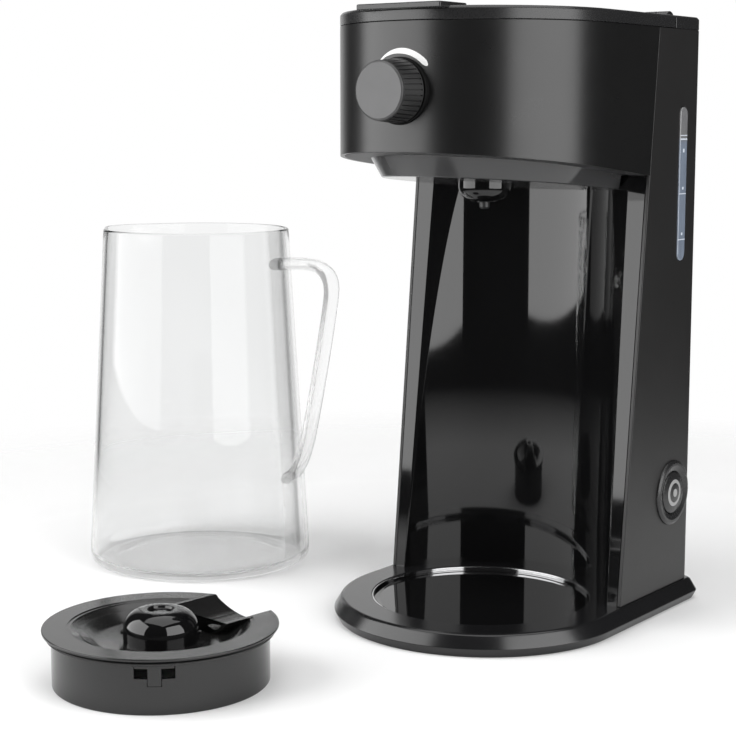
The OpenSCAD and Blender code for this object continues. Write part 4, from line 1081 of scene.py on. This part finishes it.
class MakeButton(bpy.types.Operator):
    """Power button, its ring and the sign on it"""

    bl_idname = "coffee_maker.button"
    bl_label = "Power button"

    def execute(self, context):
        foot, sideways = Vector((SIDE_HIGH.x, *RING_AT.yz)), (1, 0, 0)
        ring = lathe("button_ring", ring_of(soften(
            [(15, -5), (17, -5), (17, 0), (20.2, 0), (19.9, 1), (18.4, 1.9), (16.8, 1.9), (13.2, 0.6),
             (13.2, -5), (15, -5)], [0, 0, 0.2, 0.8, 0.9, 0.8, 1, 0.3])), foot, sideways, 96)
        done(ring, "machine", "trim", "trim", "switch_bezel")
        dome = [(r, 2.5 - r * r / 100) for r in (10.4, 9, 7.5, 6, 4.5, 3, 1.5, 0)]
        cap = lathe("button_face", soften([(0, -7), (12.8, -7), (12.8, 0.9), (11, 1.3)], [0.4, 0.6]) + dome,
                    foot, sideways, 96)
        done(cap, "button", "trim", "trim", "button_cap")
        sign = lathe("button_sign", ring_of([(6, 1.5), (8.2, 1.5), (8.2, 1.9), (7.2, 2.05), (6, 2.2)]),
                     foot, sideways, 96)
        dot = lathe("dot", soften([(0, 2), (2.5, 2), (2.5, 2.6), (0, 2.6)], [0, 0.15]), foot, sideways, 48)
        done(join(sign, dot), "button", "trim", "sign")
        return {"FINISHED"}


class MakePitcher(bpy.types.Operator):
    """Glass pitcher with its spout and drawn handle"""

    bl_idname = "coffee_maker.pitcher"
    bl_label = "Pitcher"

    def execute(self, context):
        sizes = context.scene.maker_sizes
        wide, tall, glass = GLASS_RADIUS / MM, GLASS_HIGH.z / MM, sizes.glass_wall / MM
        rim, inner, lip = wide - GLASS_TAPER, wide - glass, glass * 0.49
        outside = soften([
            (0, 1.6), (50, 1.4), (58, 0), (wide, 0), (wide - 0.3, 12), (rim, tall), (rim - glass, tall)],
            [20, 8, 9, 0, lip])
        inside = soften([
            (rim - glass / 2, tall), (rim - glass, tall), (inner - 0.3, 13), (inner, 4.5), (0, 4.9)],
            [lip, 0, 7.6])
        profile = self.fill_in(outside[:-1] + inside[1:], 9)
        pitcher = lathe("pitcher_body", profile, GLASS_AT, steps=192)
        out, spread = level(SPOUT_TURN), math.cos(math.radians(7))

        def drawn_out(vertex, at):
            return at.z > (tall - 1.2) * MM and (at - GLASS_AT).xy.normalized().dot(out.xy) > spread

        pick("verts", drawn_out)
        bpy.ops.transform.translate(
            value=out * sizes.spout, use_proportional_edit=True, proportional_edit_falloff="SMOOTH",
            proportional_size=0.027, use_proportional_connected=False)
        carve(pitcher, self.make_handle(context, wide, tall), "UNION")
        done(pitcher, "pitcher", "pitcher", "pitcher", "pitcher_glass", "pitcher_handle", angle=60, flat=False)
        return {"FINISHED"}

    def fill_in(self, points, step):
        """Points added along the long straights of a profile."""
        drawn = [Vector(points[0])]
        for here, there in zip(points, points[1:]):
            here, there = Vector(here), Vector(there)
            parts = max(1, round((there - here).length / step))
            drawn += [here.lerp(there, i / parts) for i in range(1, parts + 1)]
        return drawn

    def make_handle(self, context, wide, tall):
        """A flat rod bent along a curve and let into the wall at both ends."""
        reach, upper, lower = wide + 29.5, tall - 22, 62
        taper_start, sunk = 9, 1.4

        def spot(radius, z):
            return GLASS_AT + (level(HANDLE_TURN) * radius + Vector((0, 0, z))) * MM

        def wall_at(z):
            return wide - GLASS_TAPER * (z - taper_start) / (tall - taper_start) - sunk

        wall_high, wall_low = wall_at(upper), wall_at(lower)
        points = [
            ((wall_high - 20, upper - 1), (wall_high, upper), (reach - 19.5, upper + 2), 1.15),
            ((reach + 3.5, upper + 5), (reach, upper - 20), (reach - 3.5, upper - 44), 1.0),
            ((reach - 11.5, lower + 56), (reach - 16.5, lower + 34), (reach - 20.5, lower + 16), 1.0),
            ((wall_low + 7, lower + 1.5), (wall_low, lower), (wall_low - 10, lower - 2), 1.2),
        ]
        deselect()
        bpy.ops.curve.primitive_bezier_circle_add(radius=1)
        section = context.object
        section.data.resolution_u = 6
        section.scale = (8 * MM, 3.6 * MM, 1)
        settle(section)
        deselect()
        bpy.ops.curve.primitive_bezier_curve_add(location=(0, 0, 0))
        handle = context.object
        handle.name = "handle"
        handle.data.dimensions, handle.data.resolution_u = "3D", 14
        spline = handle.data.splines[0]
        spline.bezier_points.add(2)
        for point, (left, at, right, swell) in zip(spline.bezier_points, points):
            point.handle_left_type = point.handle_right_type = "FREE"
            point.co, point.handle_left, point.handle_right = spot(*at), spot(*left), spot(*right)
            point.radius = swell
        handle.data.bevel_mode, handle.data.bevel_object = "OBJECT", section
        handle.data.use_fill_caps = True
        focus(handle)
        bpy.ops.object.convert(target="MESH")
        handle = bpy.context.object
        bpy.data.objects.remove(section)
        bpy.ops.object.mode_set(mode="EDIT")
        outward()
        return handle


class MakePitcherLid(bpy.types.Operator):
    """Pitcher lid with its dish, pour trough, skirt, seal, latch and dome"""

    bl_idname = "coffee_maker.pitcher_lid"
    bl_label = "Pitcher lid"

    def execute(self, context):
        centre = middle_of("cap_dome") * Vector((1, 1, 0))
        self.make_top(centre)
        self.make_skirt(centre)
        self.make_dome(centre)
        return {"FINISHED"}

    def trough(self, centre, radius):
        """A round bar along the trough, to cut its inside or shape its outside."""
        along, axis = level(math.radians(82.5)), centre + Vector((0, 0, 52.9 * MM))
        return rod("trough", radius * MM, axis + along * 0.0244, axis + along * 0.1, 192)

    def make_top(self, centre):
        top = lathe("pitcher_lid_top", ring_of(soften([
            (49.4, 28), (59, 28), (63.3, 29.6), (63.5, 31), (50.2, 31), (49.7, 30.5), (48.2, 30.5),
            (47.6, 29.9), (43.2, 27.7), (42.6, 28.1), (41.4, 27.4), (35, 23.6), (22.4, 22), (16.4, 22),
            (16.4, 20), (22.6, 20), (35.6, 21.6), (44.4, 26), (49.4, 28)],
            [0.3, 0.2, 0.5, 0.3, 0.2, 0.3, 0.4, 1, 0.3, 0.5, 5, 3, 0, 0, 3, 5, 1])), centre, steps=192)
        channel = self.trough(centre, CHANNEL)
        carve(channel, post("round", 63 * MM, 0.01, 0.0309, centre=centre), "INTERSECT")
        carve(top, channel, "UNION")
        carve(top, self.trough(centre, TROUGH))
        break_edges(top, 0.4 * MM, 2, 50)
        done(top, "pitcher_lid", "cap", "cap", "pitcher_cap", angle=22)

    def turned(self, piece, centre):
        """Moves a piece made at the origin to the latch's place on the skirt."""
        piece.rotation_euler.z = math.radians(-50)
        piece.location = centre
        return settle(piece)

    def make_skirt(self, centre):
        inner, mid, outer, top = 56.4, 57.4, 58.4, 28
        slot_top = 26.2 * MM
        skirt = lathe("pitcher_lid_skirt", ring_of(soften(
            [(mid, top), (inner, top), (inner, 0), (outer, 0), (outer, top), (mid, top)], [0, 0.6, 0.8, 0])),
                      centre, steps=192)
        carve(skirt, self.trough(centre, CHANNEL))
        for half, low in ((10.5, 19.2), (3.8, 15.2)):
            hole = block("slot", (0.05, -half * MM, low * MM), (0.065, half * MM, slot_top))
            carve(skirt, self.turned(hole, centre))
        self.make_seal(centre)
        break_edges(skirt, 0.3 * MM, 2, 50)
        done(skirt, "pitcher_lid", "cap", "cap", "cap_skirt")
        bar = block("latch_tongue", (0.052, -10.1 * MM, 24.6 * MM), (0.062, 10.1 * MM, slot_top))
        tongue = block("tongue", (0.052, -3.5 * MM, 15.5 * MM), (0.062, 3.5 * MM, 26 * MM))
        carve(bar, tongue, "UNION")
        latch = self.turned(bar, centre)
        carve(latch, post("outside", 58.9 * MM, 0, 0.05, centre=centre), "INTERSECT")
        carve(latch, post("inside", inner * MM, -0.01, 0.06, centre=centre))
        break_edges(latch, 0.35 * MM, 2, 50)
        done(latch, "pitcher_lid", "cap", "cap", "cap_latch")

    def make_seal(self, centre):
        low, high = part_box("cap_gasket")
        outer = (high.x - low.x) / 2 / MM
        profile = band_profile(58.3, outer, low.z / MM, high.z / MM, [0.4, 0.4, 0])
        seal = lathe("pitcher_lid_seal", profile, centre, steps=192)
        carve(seal, self.trough(centre, CHANNEL))
        done(seal, "pitcher_lid", "silicone", "rubber", "cap_gasket")

    def make_dome(self, centre):
        """A hollow dome with six holes in its sunk top and two nubs at its sides."""
        bend_r, bend_z = 9.4, 28.2
        dome = lathe("pitcher_lid_dome", ring_of(
            [(18.4, 22), (20.4, 22)] + quarter(bend_r, bend_z, 11, 11, 20)
            + soften([(9, 39.2), (7.2, 39.2), (6.3, 37.6), (0, 37.6)], [0.7, 0.6])
            + [(0, 35.6), (7.9, 35.6)] + quarter(bend_r, bend_z, 9, 9, 8)[::-1]), centre)
        for i in range(6):
            hole = centre + level(math.tau * i / 6) * 4.5 * MM
            carve(dome, post("hole", 1.2 * MM, 0.034, 0.045, 24, hole))
        nubs, axle = [], centre + Vector((0, 0, 0.0262))
        for degrees in (36.7, 216.7):
            way = level(math.radians(degrees))
            nub = rod("nub", 1.1 * MM, axle + way * 0.0195, axle + way * 0.0218, 24)
            break_edges(nub, 0.3 * MM)
            nubs.append(nub)
        done(join(dome, *nubs), "pitcher_lid", "cap_dome", "cap_dome", "cap_dome", flat=False)


class MakeSprings(bpy.types.Operator):
    """Coil springs of the drip valve and the power button"""

    bl_idname = "coffee_maker.springs"
    bl_label = "Springs"

    def execute(self, context):
        low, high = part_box("valve_spring")
        axis = (low + high) / 2
        foot, head = Vector((axis.x, axis.y, low.z)), Vector((axis.x, axis.y, high.z))
        spring = self.coil("drip_valve_coil", (high.x - low.x) / 2, foot, head, 4)
        done(spring, "machine", "steel", "steel", "valve_spring", flat=False)
        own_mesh(spring)
        low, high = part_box("button_spring")
        axis = (low + high) / 2
        rear, front = Vector((low.x, axis.y, axis.z)), Vector((high.x, axis.y, axis.z))
        spring = self.coil("button_coil", (high.z - low.z) / 2, rear, front, 3)
        done(spring, "machine", "steel", "steel", "button_spring", flat=False)
        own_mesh(spring)
        return {"FINISHED"}

    def coil(self, name, radius, start, end, turns):
        """A round wire wound about the line between two points."""
        wire, gap, sides, steps = 0.8 * MM, 0.02 * MM, 12, 36
        run = (end - start).length - 2 * gap - wire
        deselect()
        bpy.ops.mesh.primitive_circle_add(
            vertices=sides, radius=wire / 2, location=(radius - wire / 2, 0, wire / 2 + gap),
            rotation=(math.pi / 2, 0, 0),
        )
        spring = opened(name)
        apply(spring, "SCREW", axis="Z", steps=steps, render_steps=steps, iterations=turns,
              screw_offset=run / turns)
        edit(spring)
        everything()
        bpy.ops.mesh.fill_holes(sides=sides)
        outward()
        spring.rotation_euler = (end - start).to_track_quat("Z", "Y").to_euler()
        spring.location = start
        return settle(spring)


INSIDE = {
    "inner": "bottom_cover head_floor inner_deck brew_basket lid_liner spray_head",
    "pale_plastic": "strength_gate switch_housing button_plunger check_valve thermostat thermal_fuse",
    "mesh": "basket_filter",
    "steel": "base_screws tower_screws knob_shaft hinge_pins",
    "aluminium": "heater_tube heater_bracket",
    "rubber": "rubber_feet cord_gland",
    "silicone": "valve_seal inlet_hose outlet_hose riser_pipe",
    "tank": "water_tank",
    "knob": "valve_plunger",
}


class MakeInside(bpy.types.Operator):
    """Finishes of the pieces that keep their solid shape"""

    bl_idname = "coffee_maker.inside"
    bl_label = "Inner pieces"

    def execute(self, context):
        for slot, nodes in INSIDE.items():
            for name in nodes.split():
                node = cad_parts[name]
                for place in node.material_slots:
                    place.material = FINISHES[slot]
        return {"FINISHED"}


class MakerPanel(bpy.types.Panel):
    """Sizes, colours and steps of the maker"""

    bl_idname = "VIEW3D_PT_coffee_maker"
    bl_label = "Iced coffee maker"
    bl_space_type = "VIEW_3D"
    bl_region_type = "UI"
    bl_category = "Coffee maker"

    def draw(self, context):
        for step in STEPS:
            self.layout.operator(step.bl_idname)
        for group in (context.scene.maker_sizes, context.scene.maker_colours):
            box = self.layout.box()
            for key in group.__annotations__:
                box.prop(group, key)


STEPS = [MakeStage, MakeBase, MakeTower, MakeBay, MakeHead, MakeLid, MakeKnob, MakeButton, MakePitcher,
         MakePitcherLid, MakeSprings, MakeInside]
CLASSES = [MakerSizes, MakerColours, *STEPS, MakerPanel]


def register():
    for kind in CLASSES:
        bpy.utils.register_class(kind)
    bpy.types.Scene.maker_sizes = PointerProperty(type=MakerSizes)
    bpy.types.Scene.maker_colours = PointerProperty(type=MakerColours)


def unregister():
    del bpy.types.Scene.maker_colours
    del bpy.types.Scene.maker_sizes
    for kind in reversed(CLASSES):
        bpy.utils.unregister_class(kind)


def main():
    register()
    bpy.ops.coffee_maker.stage()
    bpy.ops.coffee_maker.base()
    bpy.ops.coffee_maker.tower()
    bpy.ops.coffee_maker.bay()
    bpy.ops.coffee_maker.head()
    bpy.ops.coffee_maker.lid()
    bpy.ops.coffee_maker.knob()
    bpy.ops.coffee_maker.button()
    bpy.ops.coffee_maker.pitcher()
    bpy.ops.coffee_maker.pitcher_lid()
    bpy.ops.coffee_maker.springs()
    bpy.ops.coffee_maker.inside()


if __name__ == "__main__":
    main()
